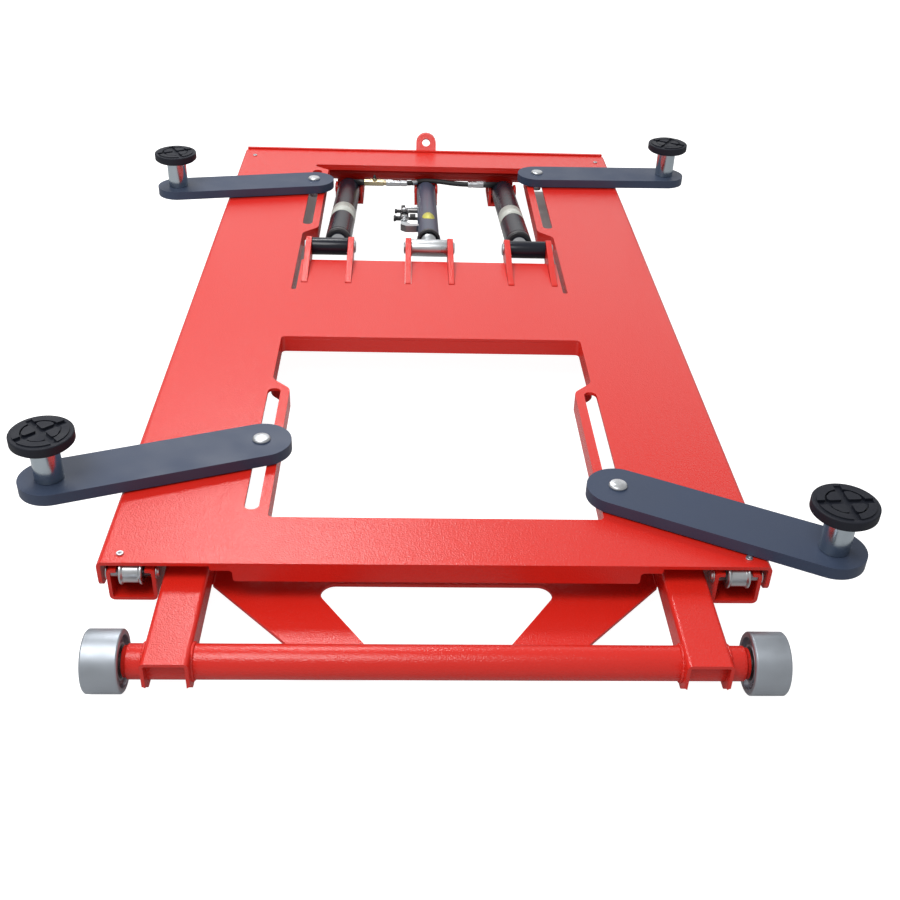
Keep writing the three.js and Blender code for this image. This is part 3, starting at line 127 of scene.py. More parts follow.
def new_group(name, kind, inputs, outputs):
    group = bpy.data.node_groups.new(name, kind)
    for label, socket_kind, value in inputs:
        made = group.interface.new_socket(label, in_out="INPUT", socket_type=socket_kind)
        if value is not None:
            made.default_value = value
    for label, socket_kind in outputs:
        group.interface.new_socket(label, in_out="OUTPUT", socket_type=socket_kind)
    return group, group.nodes.new("NodeGroupInput"), group.nodes.new("NodeGroupOutput")


# %% [markdown]
# ## Shared effects
# Three effects are on more than one finish. Grain is the fine orange peel that powder coat and
# rubber have. Patches are the slow changes of tone that any sprayed or plated surface has. Turning
# marks run round an axle, a wheel or a rod. Each is a shader group that puts out a height or a
# share, and each finish sets its own sizes on it.

# %% Grain
grain_group, grain_in, grain_out = new_group("grain", "ShaderNodeTree", [
    ("Grains Per Metre", "NodeSocketFloat", 500.0),
    ("Softness", "NodeSocketFloat", 0.5),
], [("Height", "NodeSocketFloat")])
place = add_node(grain_group, "ShaderNodeTexCoord")
peel = add_node(grain_group, "ShaderNodeTexNoise", {"Detail": 2.0})
wire(grain_group, (place, "Object", peel, "Vector"), (grain_in, "Grains Per Metre", peel, "Scale"),
     (grain_in, "Softness", peel, "Roughness"), (peel, "Fac", grain_out, "Height"))

# %% Patches
patch_group, patch_in, patch_out = new_group("patches", "ShaderNodeTree", [
    ("Patches Per Metre", "NodeSocketFloat", 6.0),
    ("Low", "NodeSocketFloat", 0.3),
    ("High", "NodeSocketFloat", 0.5),
], [("Share", "NodeSocketFloat"), ("Value", "NodeSocketFloat")])
place = add_node(patch_group, "ShaderNodeTexCoord")
cloud = add_node(patch_group, "ShaderNodeTexNoise", {"Detail": 2.0, "Roughness": 0.45})
spread = add_node(patch_group, "ShaderNodeMapRange", {"From Min": 0.3, "From Max": 0.7})
wire(patch_group, (place, "Object", cloud, "Vector"), (patch_in, "Patches Per Metre", cloud, "Scale"),
     (cloud, "Fac", spread, "Value"), (patch_in, "Low", spread, "To Min"),
     (patch_in, "High", spread, "To Max"), (cloud, "Fac", patch_out, "Share"),
     (spread, "Result", patch_out, "Value"))

# %% Turning marks
marks_group, marks_in, marks_out = new_group("turning_marks", "ShaderNodeTree", [
    ("Marks Per Metre", "NodeSocketFloat", 900.0),
    ("Stretch", "NodeSocketVector", (1.0, 0.03, 0.03)),
], [("Height", "NodeSocketFloat")])
place = add_node(marks_group, "ShaderNodeTexCoord")
squeeze = add_node(marks_group, "ShaderNodeVectorMath", operation="MULTIPLY")
rings = add_node(marks_group, "ShaderNodeTexNoise", {"Detail": 3.0, "Roughness": 0.7})
wire(marks_group, (place, "Object", squeeze, 0), (marks_in, "Stretch", squeeze, 1),
     (squeeze, 0, rings, "Vector"), (marks_in, "Marks Per Metre", rings, "Scale"),
     (rings, "Fac", marks_out, "Height"))
print("shared effects:", len(bpy.data.node_groups))

# %% [markdown]
# ## Finishes
# One function mixes a finish: two close tones, a roughness that changes in slow patches, and a bump
# from the grain or the turning marks. Where a finish has many patches to the metre, as plate and
# rubber have, the tones follow the patches. Where it has few, as even paint, they follow the grain,
# because a slow change of tone under gloss shows as contour lines. Painted steel keeps Metallic at
# 0, plated steel has Metallic at 1, and rubber has little shine and much roughness.

# %% Finish maker
BLOTCHED_FROM = 9.0


def finish(name, tones, rough, metallic=0.0, shine=0.5, grain=500.0, bump=0.2, depth=0.0004,
           patches=6.0, marks=None):
    material = bpy.data.materials.new(name)
    material.use_nodes = True
    tree = material.node_tree
    shader = tree.nodes["Principled BSDF"]
    shader.inputs["Metallic"].default_value = metallic
    shader.inputs["Specular IOR Level"].default_value = shine
    slow = add_node(tree, "ShaderNodeGroup", node_tree=patch_group)
    slow.inputs["Patches Per Metre"].default_value = patches
    slow.inputs["Low"].default_value, slow.inputs["High"].default_value = rough
    mix = add_node(tree, "ShaderNodeMix", data_type="RGBA")
    mix.inputs[6].default_value, mix.inputs[7].default_value = (*tones[0], 1), (*tones[1], 1)
    raised = add_node(tree, "ShaderNodeBump", {"Strength": bump, "Distance": depth})
    fine = add_node(tree, "ShaderNodeGroup", node_tree=marks_group if marks else grain_group)
    if marks:
        fine.inputs["Marks Per Metre"].default_value = grain
        fine.inputs["Stretch"].default_value = marks
    else:
        fine.inputs["Grains Per Metre"].default_value = grain
    tone = (slow, "Share") if patches > BLOTCHED_FROM else (fine, "Height")
    wire(tree, (*tone, mix, "Factor"), (mix, 2, shader, "Base Color"),
         (slow, "Value", shader, "Roughness"), (fine, "Height", raised, "Height"),
         (raised, "Normal", shader, "Normal"))
    return material


# %% [markdown]
# The red is a powder coat. It is baked on in one layer, so it has an orange peel that breaks each
# reflection into sparks, and the tones stay even. The swing arms have a matt blue-grey coat that
# marks easily, the barrels have black gloss paint, and what slides or rolls is zinc plated.

# %% Finishes
ROUND_X = (1.0, 0.02, 0.02)
ROUND_Z = (0.02, 0.02, 1.0)
FINISHES = {
    "red": finish("red_powder_coat", ((0.66, 0.018, 0.010), (0.71, 0.022, 0.013)), (0.21, 0.25),
                  grain=420, bump=0.75, depth=0.0008, patches=1.2),
    "blue_grey": finish("blue_grey_coat", ((0.028, 0.044, 0.086), (0.040, 0.058, 0.106)),
                        (0.42, 0.58), shine=0.45, grain=700, bump=0.25, patches=14),
    "black_gloss": finish("black_gloss_paint", ((0.008, 0.010, 0.017), (0.012, 0.014, 0.024)),
                          (0.20, 0.28), shine=0.33, grain=300, bump=0.06),
    "lock_blue": finish("lock_paint", ((0.048, 0.064, 0.104), (0.062, 0.080, 0.128)),
                        (0.26, 0.36), shine=0.5, grain=400, bump=0.1),
    "zinc": finish("zinc_plate", ((0.50, 0.52, 0.54), (0.66, 0.68, 0.70)), (0.26, 0.42),
                   metallic=1.0, grain=600, bump=0.12, patches=40),
    "post_steel": finish("bright_zinc", ((0.44, 0.51, 0.56), (0.55, 0.61, 0.66)), (0.16, 0.26),
                         metallic=1.0, grain=900, bump=0.12, patches=30, marks=ROUND_Z),
    "wheel_steel": finish("rolled_steel", ((0.38, 0.41, 0.45), (0.48, 0.52, 0.57)), (0.40, 0.55),
                          metallic=1.0, grain=900, bump=0.25, patches=30, marks=ROUND_X),
    "yellow_zinc": finish("yellow_zinc", ((0.52, 0.42, 0.24), (0.62, 0.56, 0.40)), (0.25, 0.4),
                          metallic=1.0, grain=500, bump=0.1, patches=60),
    "chrome": finish("hard_chrome", ((0.55, 0.56, 0.58), (0.62, 0.63, 0.65)), (0.08, 0.14),
                     metallic=1.0, grain=900, bump=0.05, marks=ROUND_X),
    "dark_steel": finish("blackened_steel", ((0.014, 0.014, 0.016), (0.030, 0.030, 0.034)),
                         (0.3, 0.5), grain=800, bump=0.2, patches=60),
    "rubber": finish("moulded_rubber", ((0.004, 0.006, 0.012), (0.009, 0.011, 0.020)),
                     (0.5, 0.7), shine=0.35, grain=1100, bump=0.45, depth=0.0003, patches=30),
    "hose": finish("hose_cover", ((0.010, 0.010, 0.012), (0.018, 0.018, 0.020)), (0.45, 0.6),
                   grain=1500, bump=0.3, patches=50),
    "label": finish("bare_label", ((0.44, 0.46, 0.42), (0.60, 0.61, 0.56)), (0.25, 0.4),
                    grain=300, bump=0.05, patches=50),
    "dot": finish("yellow_dot", ((0.62, 0.58, 0.06), (0.74, 0.70, 0.16)), (0.3, 0.45),
                  grain=300, bump=0.05, patches=120),
}
SLOTS = {"red": "red_paint", "blue_grey": "arm_paint", "black_gloss": "cylinder_paint",
         "lock_blue": "lock_paint", "chrome": "chrome_rod", "rubber": "rubber", "hose": "rubber"}
print("finishes:", ", ".join(FINISHES))

# %% [markdown]
# ## Solids
# Sheet and bar work is drawn as an outline and given a thickness, and turned work as a profile that
# goes round an axis. A corner is written with its radius and becomes a real arc, because the bends
# of the sheet show in the picture. Cuts and joins are Boolean modifiers, evaluated at once.

# %% Outlines
def rounded(corners, steps=6):
    """Turns corners written as (first, second, radius) into the points of an outline."""
    points = []
    for i, corner in enumerate(corners):
        here = Vector(corner[:2])
        radius = corner[2] if len(corner) > 2 else 0
        if not radius:
            points.append(here)
            continue
        back = (Vector(corners[i - 1][:2]) - here).normalized()
        ahead = (Vector(corners[(i + 1) % len(corners)][:2]) - here).normalized()
        half = math.acos(max(-1, min(1, back.dot(ahead)))) / 2
        centre = here + (back + ahead).normalized() * (radius / math.sin(half))
        start = here + back * (radius / math.tan(half)) - centre
        end = here + ahead * (radius / math.tan(half)) - centre
        first = math.atan2(start.y, start.x)
        sweep = (math.atan2(end.y, end.x) - first + math.pi) % (2 * math.pi) - math.pi
        for k in range(steps + 1):
            angle = first + sweep * k / steps
            points.append(centre + radius * Vector((math.cos(angle), math.sin(angle))))
    return points


def arc(u, v, radius, start, end, steps=20):
    return [Vector((u + radius * math.cos(start + (end - start) * k / steps),
                    v + radius * math.sin(start + (end - start) * k / steps)))
            for k in range(steps + 1)]


def other_side(half):
    """The mirror image of half an outline, in the order that carries on from it."""
    return [(-corner[0], *corner[1:]) for corner in reversed(half)]


def both_sides(half):
    return [*half, *other_side(half)]


def grown(corners, distance):
    """Moves every edge of an anticlockwise outline outwards."""
    out = []
    for i, corner in enumerate(corners):
        u, v = corner[:2]
        radius = corner[2] if len(corner) > 2 else 0
        into = (Vector((u, v)) - Vector(corners[i - 1][:2])).normalized()
        leave = (Vector(corners[(i + 1) % len(corners)][:2]) - Vector((u, v))).normalized()
        share = distance / (1 + into.dot(leave))
        turned_by = distance if into.cross(leave) > 0 else -distance
        out.append((u + share * (into.y + leave.y), v - share * (into.x + leave.x),
                    max(radius + turned_by, 0) if radius else 0))
    return out


# %% Solids from outlines and profiles
def solid(points, faces):
    mesh = bpy.data.meshes.new("solid")
    mesh.from_pydata(points, [], faces)
    shell = bmesh.new()
    shell.from_mesh(mesh)
    bmesh.ops.recalc_face_normals(shell, faces=shell.faces)
    shell.to_mesh(mesh)
    shell.free()
    return placed("solid", mesh)


def prism(one_end, other_end):
    """A closed solid between two outlines that have the same count of points."""
    count = len(one_end)
    walls = [[i, (i + 1) % count, count + (i + 1) % count, count + i] for i in range(count)]
    ends = [list(range(count))[::-1], list(range(count, 2 * count))]
    return solid([*one_end, *other_end], [*ends, *walls])


LAID = {"x": lambda u, v, w: (w, u, v), "y": lambda u, v, w: (u, w, v),
        "z": lambda u, v, w: (u, v, w)}
AROUND = {"x": lambda c, s, w: (w, c, s), "y": lambda c, s, w: (s, w, c),
          "z": lambda c, s, w: (c, s, w)}


def plate(outline, low, high, across="z"):
    """A flat piece: its outline is seen along the axis named by across."""
    return prism(*[[LAID[across](u, v, level) for u, v in outline] for level in (low, high)])


def hexagon(radius, centre=(0, 0), start=0):
    angles = [math.radians(60 * k + start) for k in range(6)]
    return [(centre[0] + radius * math.cos(a), centre[1] + radius * math.sin(a)) for a in angles]


def block(left, right, near, far, low, high):
    return plate([(left, near), (right, near), (right, far), (left, far)], low, high)


def turned(profile, axis="z", centre=(0, 0, 0), sides=48):
    """A turned piece: profile holds (radius, place along the axis), rounded where it has a radius."""
    lay = AROUND[axis]
    path = rounded(profile, 4)
    loop = len(profile) > 2 and tuple(profile[0][:2]) == tuple(profile[-1][:2])
    if loop:
        path = path[:-1]
    points, rings = [], []
    for radius, along in path:
        if radius < 1e-6:
            rings.append([len(points)])
            points.append(lay(0, 0, along))
            continue
        rings.append(list(range(len(points), len(points) + sides)))
        points += [lay(radius * math.cos(2 * math.pi * k / sides),
                       radius * math.sin(2 * math.pi * k / sides), along) for k in range(sides)]
    faces = []
    for one, two in zip(rings, rings[1:] + rings[:1] if loop else rings[1:]):
        for k in range(sides):
            n = (k + 1) % sides
            corners = [one[k % len(one)], one[n % len(one)], two[n % len(two)], two[k % len(two)]]
            if len(set(corners)) > 2:
                faces.append(list(dict.fromkeys(corners)))
    points = [tuple(a + b for a, b in zip(point, centre)) for point in points]
    return solid(points, faces)


def rod(radius, start, end, axis="x", centre=(0, 0, 0), edge=0.8, sides=48):
    profile = [(0, start), (radius, start, edge), (radius, end, edge), (0, end)]
    return turned(profile, axis, centre, sides)


# %% Cuts, joins and turns
def evaluated(thing):
    """The plain mesh of an object with its modifiers, which then takes the object's place."""
    graph = bpy.context.evaluated_depsgraph_get()
    mesh = bpy.data.meshes.new_from_object(thing.evaluated_get(graph))
    thing.modifiers.clear()
    thing.data = mesh
    return thing


def worked(thing, cut=(), add=(), keep=()):
    """Joins solids to a solid, then cuts others away, then keeps what lies in the last ones."""
    steps = [("UNION", tool) for tool in add] + [("DIFFERENCE", tool) for tool in cut]
    steps += [("INTERSECT", tool) for tool in keep]
    for operation, tool in steps:
        step = thing.modifiers.new(operation.lower(), "BOOLEAN")
        step.operation, step.object, step.solver = operation, tool, "MANIFOLD"
    evaluated(thing)
    for tool in {tool for _, tool in steps}:
        bpy.data.objects.remove(tool)
    return thing


def moved(thing, matrix):
    thing.data.transform(matrix)
    return thing


def mirrored(thing):
    twin = placed("solid", thing.data.copy())
    twin.data.transform(Matrix.Diagonal((-1, 1, 1, 1)))
    twin.data.flip_normals()
    return twin


def softened(thing, radius, along):
    """Rounds the long edges of a bar or tube that run with the given axis."""
    shell = bmesh.new()
    shell.from_mesh(thing.data)
    bmesh.ops.dissolve_limit(shell, angle_limit=0.01, verts=shell.verts, edges=shell.edges)
    index = "xyz".index(along)
    long_edges = [edge for edge in shell.edges if edge.calc_face_angle(0) > 0.9 and
                  abs((edge.verts[0].co - edge.verts[1].co).normalized()[index]) > 0.9]
    bmesh.ops.bevel(shell, geom=long_edges, offset=radius, segments=4, profile=0.5, affect="EDGES")
    shell.to_mesh(thing.data)
    shell.free()
    return thing


# %% [markdown]
# A finished piece gets its place in metres, its name, a small bevel on every hard edge, and
# weighted normals, which keep the flats flat beside the bevel.

# %% Finishing a piece
BEVEL_FROM = math.radians(32)
made_pieces = []


def finished(name, thing, coat, body, stands_for=(), edge=0.7, in_metres=False):
    shell = bmesh.new()
    shell.from_mesh(thing.data)
    bmesh.ops.remove_doubles(shell, verts=shell.verts, dist=1e-6 if in_metres else 0.002)
    bmesh.ops.dissolve_limit(shell, angle_limit=0.008, verts=shell.verts, edges=shell.edges)
    if not in_metres:
        for vertex in shell.verts:
            vertex.co = in_frame(*vertex.co)
    for face in shell.faces:
        face.smooth = True
    shell.to_mesh(thing.data)
    shell.free()
    thing.name = thing.data.name = name
    thing.data.materials.clear()
    thing.data.materials.append(FINISHES[coat])
    if edge:
        bevel = thing.modifiers.new("rounded_edges", "BEVEL")
        bevel.width, bevel.segments = edge * MM, 2
        bevel.limit_method, bevel.angle_limit = "ANGLE", BEVEL_FROM
        weigh = thing.modifiers.new("flat_faces", "WEIGHTED_NORMAL")
        weigh.keep_sharp = True
    made_pieces.append(thing)
    if stands_for:
        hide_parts(*([stands_for] if isinstance(stands_for, str) else stands_for))
    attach(thing, body)
    SLOTS.get(coat, "zinc")
    return thing


def pair(name, right, coat, body, stands_for="", edge=0.7):
    """A piece and its mirror image; a body or node that has sides ends in _right and _left."""
    left = mirrored(right)
    for thing, side in ((right, "_right"), (left, "_left")):
        on_body = body + side if body in ("wheel", "roller") else body
        finished(name + side, thing, coat, on_body, [stands_for + side] if stands_for else (), edge)


# %% [markdown]
# ## Platform
# The platform is one sheet of 6 mm plate with its long sides bent down. Its two openings and four
# slots are cut by plasma, so their corners are round. The sheet is drawn as its cross-section, which
# has the bends in it, and the openings are cut out of that.

# %% Platform sheet
DECK_TOP, DECK_PLATE, DECK_HALF, DECK_LENGTH = 108, 6, 500, 1806
DECK_UNDER = DECK_TOP - DECK_PLATE
SKIRT_LOW, WALL_LOW = 59, 74
SLOT_X, SLOT_WIDTH, SLOT_LENGTH = 290, 23, 372
OPENING_HALF, TAB_HALF = 297, 262
EYE_X, EAR_FROM_EYE = 225, 47.5
EAR_CENTRES = [x + side * EAR_FROM_EYE for x in (-EYE_X, 0, EYE_X) for side in SIDES]
EAR_SLOT_HALF, EAR_SLOT_END = 6.9, 955
TONGUE_HALF, TONGUE_ROOT, TONGUE_TIP = 287, 922, 1075

near_opening = both_sides([(TAB_HALF, 114, 8), (TAB_HALF, 505, 24), (OPENING_HALF, 540, 24),
                           (OPENING_HALF, 708, 8)])
far_side = [(OPENING_HALF, 1227.5, 24), (TAB_HALF, 1262.5, 24), (TAB_HALF, 1655, 8),
            (OPENING_HALF, 1681, 8), (OPENING_HALF, 1695, 8)]
tongue = [(TONGUE_HALF, TONGUE_ROOT, 4.9), (TONGUE_HALF, TONGUE_TIP, 3)]
for x in reversed([centre for centre in EAR_CENTRES if centre > 0]):
    right, left = x + EAR_SLOT_HALF, x - EAR_SLOT_HALF
    tongue += [(right, TONGUE_TIP, 2), (right, EAR_SLOT_END, 3), (left, EAR_SLOT_END, 3),
               (left, TONGUE_TIP, 2)]
tongue.reverse()
far_opening = [*both_sides(far_side), (-OPENING_HALF, TONGUE_ROOT, 4.9), *other_side(tongue), *tongue,
               (OPENING_HALF, TONGUE_ROOT, 4.9)]


def slot(x, start):
    radius = SLOT_WIDTH / 2
    end = start + SLOT_LENGTH
    return plate([*arc(x, end - radius, radius, 0, math.pi),
                  *arc(x, start + radius, radius, math.pi, 2 * math.pi)], 90, 120)


def near_flange():
    low, high, ear_low = WALL_LOW, DECK_UNDER + 3, DECK_UNDER - 8
    return plate(rounded([(-336, high), (-336, ear_low, 3.5), (-303, ear_low, 6), (-303, low, 5),
                          (303, low, 5), (303, ear_low, 6), (336, ear_low, 3.5), (336, high)]),
                 0, 6, "y")


def skirt_corner():
    low = SKIRT_LOW
    corner = [Vector((-5, low - 5)), Vector((16, low - 5)),
              *arc(16, low + 16, 16, -math.pi / 2, -math.pi, 10), Vector((-5, low + 16))]
    return plate(corner, -600, 600, "x")


inside = DECK_HALF - DECK_PLATE
section = [(-DECK_HALF, SKIRT_LOW), (-inside, SKIRT_LOW), (-inside, DECK_UNDER, 3),
           (inside, DECK_UNDER, 3), (inside, SKIRT_LOW), (DECK_HALF, SKIRT_LOW),
           (DECK_HALF, DECK_TOP, 9), (-DECK_HALF, DECK_TOP, 9)]
deck = plate(rounded(section, 8), 0, DECK_LENGTH, "y")
deck = worked(deck, cut=[
    plate(rounded(near_opening, 8), 90, 120), plate(rounded(far_opening, 8), 90, 120),
    *[slot(side * SLOT_X, start) for side in SIDES for start in (133, 1280)],
    block(-600, 600, 1738, 1820, -5, DECK_TOP - 9), skirt_corner()], add=[near_flange()])
finished("platform_sheet", deck, "red", "platform", "deck_plate", 0.8)

# %% [markdown]
# Each opening has a strip of plate welded on edge under it, which keeps the sheet from flexing. The
# strip is the same outline, grown by its thickness. At the far end it is low, because the barrels
# and the lock pass below it.

# %% Strips round the openings
def ring(corners):
    outer = plate(rounded(grown(corners, 6), 8), WALL_LOW, DECK_UNDER - 0.3)
    return worked(outer, cut=[plate(rounded(corners, 8), WALL_LOW - 5, DECK_UNDER + 5)])


finished("near_opening_strip", ring(near_opening), "red", "platform", "near_opening_walls", 0.6)
plain_far_opening = [*both_sides(far_side), (-OPENING_HALF, TONGUE_ROOT, 5),
                     (OPENING_HALF, TONGUE_ROOT, 5)]
far_gap = block(-TAB_HALF, TAB_HALF, 1690, 1706, 60, DECK_UNDER - 9)
finished("far_opening_strip", worked(ring(plain_far_opening), cut=[
    block(-TONGUE_HALF, TONGUE_HALF, 910, TONGUE_TIP, 60, 120), far_gap]), "red", "platform",
    "far_opening_walls", 0.6)
print("platform pieces:", len(made_pieces))

# %% [markdown]
# ## Pieces that keep their form
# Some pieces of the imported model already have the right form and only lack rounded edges, such as
# the lugs under the platform. A copy of the node's mesh is merged, because the node itself is loose
# triangles, and is finished like any other piece.

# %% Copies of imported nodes
def copied(name, node, coat, body, edge=0.7):
    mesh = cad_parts[node].data.copy()
    thing = placed(name, mesh)
    mesh.materials.clear()
    return finished(name, thing, coat, body, node, edge, in_metres=True)


for side in ("left", "right"):
    copied("platform_lugs_" + side, "platform_pivot_" + side, "red", "platform")
    copied("centre_pin_" + side, "centre_pivot_pin_" + side, "zinc", "outer_arms")
    copied("base_pin_" + side, "base_pivot_pin_" + side, "zinc", "base")

# %% [markdown]
# ## Inner arms
# An inner arm is a rectangular tube. Its near end is open and straddles the axle tube, with its two
# walls reaching below it, and it tapers slightly towards the platform. The tube's long edges have
# the round corners of rolled tube, so they are softened before the hollow is cut.

# %% Inner arms
INNER_IN, INNER_OUT = 341, 407
AXLE_Y, AXLE_Z = -137.6, 45
FAR_PIVOT_Y, FAR_PIVOT_Z = 1615.04, 82
REST = math.atan2(37, 1765 - 12.4)
CENTRE_Y = (1765 - 137.6) / 2
CENTRE_Z = 45 + math.tan(REST) * (1765 + 137.6) / 2


def along_arm(near, far, y):
    return near + (far - near) * (y - AXLE_Y) / (FAR_PIVOT_Y - AXLE_Y)


def bottom_at(y):
    return along_arm(31, 50, y)


def top_at(y):
    return along_arm(76, 94, y)


def inner_arm():
    near, lug_far, tip = AXLE_Y - 38, AXLE_Y + 46, FAR_PIVOT_Y + 19
    side = [(near, bottom_at(near)), (tip, bottom_at(tip)), (tip, top_at(tip)), (near, top_at(near))]
    tube = softened(plate(side, INNER_IN, INNER_OUT, "x"), 7, "y")
    trim = plate(rounded([(near - 5, -5), (lug_far, -5), (FAR_PIVOT_Y - 19, bottom_at(FAR_PIVOT_Y) - 1),
                          (tip, 72, 9), (tip, 105), (near - 5, 105)]), 320, 420, "x")
    tube = worked(tube, keep=[trim])
    lug = rounded([(near, 33), (near + 16, 17, 9), (AXLE_Y + 16, 17, 9),
                   (lug_far, bottom_at(lug_far) + 2), (lug_far, 60), (near, 60)])
    lugs = [plate(lug, left, left + 5, "x") for left in (INNER_IN, INNER_OUT - 5)]
    hollow = softened(plate([(near - 5, bottom_at(near) + 5), (tip + 5, bottom_at(tip) + 5),
                             (tip + 5, top_at(tip) - 5), (near - 5, top_at(near) - 5)],
                            INNER_IN + 5, INNER_OUT - 5, "x"), 2.5, "y")
    mouth = block(INNER_IN + 5, INNER_OUT - 5, near - 5, lug_far, -5, 60)
    bush = rod(20, INNER_IN + 3, 415.7, "x", (0, CENTRE_Y, CENTRE_Z))
    return worked(tube, add=[*lugs, bush], cut=[
        hollow, mouth, rod(25.3, 300, 450, "x", (0, AXLE_Y, AXLE_Z)),
        rod(14.4, 300, 450, "x", (0, CENTRE_Y, CENTRE_Z)),
        rod(12.4, 300, 450, "x", (0, FAR_PIVOT_Y, FAR_PIVOT_Z))])


pair("inner_arm", inner_arm(), "red", "inner_arms", "inner_arm", 0.6)

# %% [markdown]
# ## Axle and wheels
# The axle tube joins the two inner arms, and a shaft runs through it to both wheels. The wheels are
# plain steel rollers: a heavy rim, a recessed web and a bearing pressed into the middle. They are
# turned, so a profile and an axis are all they need.

# %% Axle
finished("axle_tube", turned([
    (13, -437), (22.5, -437, 1.2), (22.5, -431), (25, -431, 1), (25, 431, 1), (22.5, 431),
    (22.5, 437, 1.2), (13, 437), (13, 421), (21, 421), (21, -421), (13, -421), (13, -437)],
    "x", (0, AXLE_Y, AXLE_Z), 72), "red", "inner_arms", "wheel_axle_tube", 0)


def hex_head(across_flats, height, chamfer=0.8):
    """A hexagon head standing on the XY plane, with the turned chamfer that a real one has."""
    radius = across_flats / math.sqrt(3)
    dome = turned([(0, -1), (radius, -1), (radius, height - chamfer), (across_flats / 2 - 0.5, height),
                   (0, height)])
    return worked(plate(hexagon(radius), 0, height), keep=[dome])


SHAFT_END, WASHER_END = 480.3, 483.3
shaft = turned([(0, -SHAFT_END), (12.5, -SHAFT_END), (12.5, SHAFT_END), (0, SHAFT_END)],
               "x", (0, AXLE_Y, AXLE_Z))
finished("axle_shaft", shaft, "zinc", "inner_arms", "wheel_axle", 0.5)
to_right = Matrix.Translation((0, AXLE_Y, AXLE_Z)) @ Matrix.Rotation(math.radians(90), 4, "Y")
washer = turned([(0, SHAFT_END), (17, SHAFT_END), (17, WASHER_END, 0.8), (0, WASHER_END)])
washer = moved(washer, to_right)
head = moved(hex_head(15, 4.2), to_right @ Matrix.Translation((0, 0, WASHER_END)))
pair("axle_washer", washer, "zinc", "inner_arms", edge=0)
pair("axle_bolt", head, "zinc", "inner_arms", edge=0.4)

# %% Wheels
wheel = turned([
    (24, 440), (26.5, 440, 0.5), (27, 446), (37, 446, 2), (37, 437, 1), (43, 437, 1.5), (45, 439, 1),
    (45, 486, 1), (43, 488, 1.5), (37, 488, 1), (37, 478, 2), (24, 478), (24, 440)],
    "x", (0, AXLE_Y, AXLE_Z), 96)
pair("wheel", wheel, "wheel_steel", "wheel", "wheel", 0)
bearing = turned([
    (12.9, 440.3), (23.9, 440.3, 0.8), (23.9, 479.7, 0.8), (21, 479.7), (20.4, 478.8), (16.8, 478.8),
    (16.2, 479.7), (12.9, 479.7), (12.9, 440.3)], "x", (0, AXLE_Y, AXLE_Z), 64)
pair("wheel_bearing", bearing, "dark_steel", "wheel", edge=0)

# %% [markdown]
# ## Brace plate
# A flat plate stiffens the inner arms behind the axle. Its large cut-out leaves two slanting legs,
# and a row of six slots lies near its far edge. A row is a rule: the same cut at an even pitch. A
# Geometry Nodes tree makes the row of cutters from its count, pitch and size.

# %% A row of cutters by Geometry Nodes
def tree_modifier(thing, tree, **values):
    """Puts a tree on an object and sets its named inputs by their identifiers."""
    modifier = thing.modifiers.new(tree.name, "NODES")
    modifier.node_group = tree
    named = {item.name: item.identifier for item in tree.interface.items_tree
             if item.in_out == "INPUT"}
    for key, value in values.items():
        modifier[named[key.replace("_", " ")]] = value
    return evaluated(thing)


def geometry_tree(name, inputs):
    """Starts a tree; every one takes a geometry first and a material last."""
    return new_group(name, "GeometryNodeTree", [
        ("Geometry", "NodeSocketGeometry", None), *inputs, ("Material", "NodeSocketMaterial", None),
    ], [("Geometry", "NodeSocketGeometry")])


def made_real(tree, group_in, group_out, copies):
    """Ends a tree: the copies become a plain mesh that has the material."""
    real = add_node(tree, "GeometryNodeRealizeInstances")
    coat = add_node(tree, "GeometryNodeSetMaterial")
    wire(tree, (copies, "Instances", real, "Geometry"), (real, "Geometry", coat, "Geometry"),
         (group_in, "Material", coat, "Material"), (coat, "Geometry", group_out, "Geometry"))


row_tree, row_in, row_out = geometry_tree("row_of_blocks", [
    ("Count", "NodeSocketInt", 6), ("Start", "NodeSocketVector", None),
    ("Pitch", "NodeSocketVector", None), ("Size", "NodeSocketVector", None)])
row_line = add_node(row_tree, "GeometryNodeMeshLine")
row_block = add_node(row_tree, "GeometryNodeMeshCube")
row_copies = add_node(row_tree, "GeometryNodeInstanceOnPoints")
wire(row_tree, (row_in, "Count", row_line, "Count"), (row_in, "Start", row_line, "Start Location"),
     (row_in, "Pitch", row_line, "Offset"), (row_in, "Size", row_block, "Size"),
     (row_line, "Mesh", row_copies, "Points"), (row_block, "Mesh", row_copies, "Instance"))
made_real(row_tree, row_in, row_out, row_copies)

slot_row = tree_modifier(solid([(0, 0, 0)], []), row_tree, Count=6, Start=(-280.0, 89.0, 35.0),
                         Pitch=(112.0, 0.0, 0.0), Size=(57.0, 22.0, 30.0), Material=FINISHES["red"])
near_edge = AXLE_Y + 24.3
BETWEEN_ARMS = INNER_IN - 0.3
brace = plate(rounded(both_sides([(200, near_edge), (BETWEEN_ARMS, 36), (BETWEEN_ARMS, 150)])), 32, 38)
cut_out = plate(rounded([(-93, near_edge - 5), (93, near_edge - 5), (93, near_edge), (195, 38, 22),
                         (-195, 38, 22), (-93, near_edge)], 12), 20, 50)
finished("brace_plate", worked(brace, cut=[cut_out, slot_row]), "red", "inner_arms",
         "brace_plate", 0.6)

# %% [markdown]
# ## Cross tube with ears
# Six ears stand on a square tube between the inner arms and come up through notches in the
# platform. The rods push on them. An ear is 13 mm plate with a round head, cut to a straight slope
# that lies on the platform at its near end.

# %% Cross tube with ears
ROD_PIN_Y, ROD_PIN_Z = 1123, 120


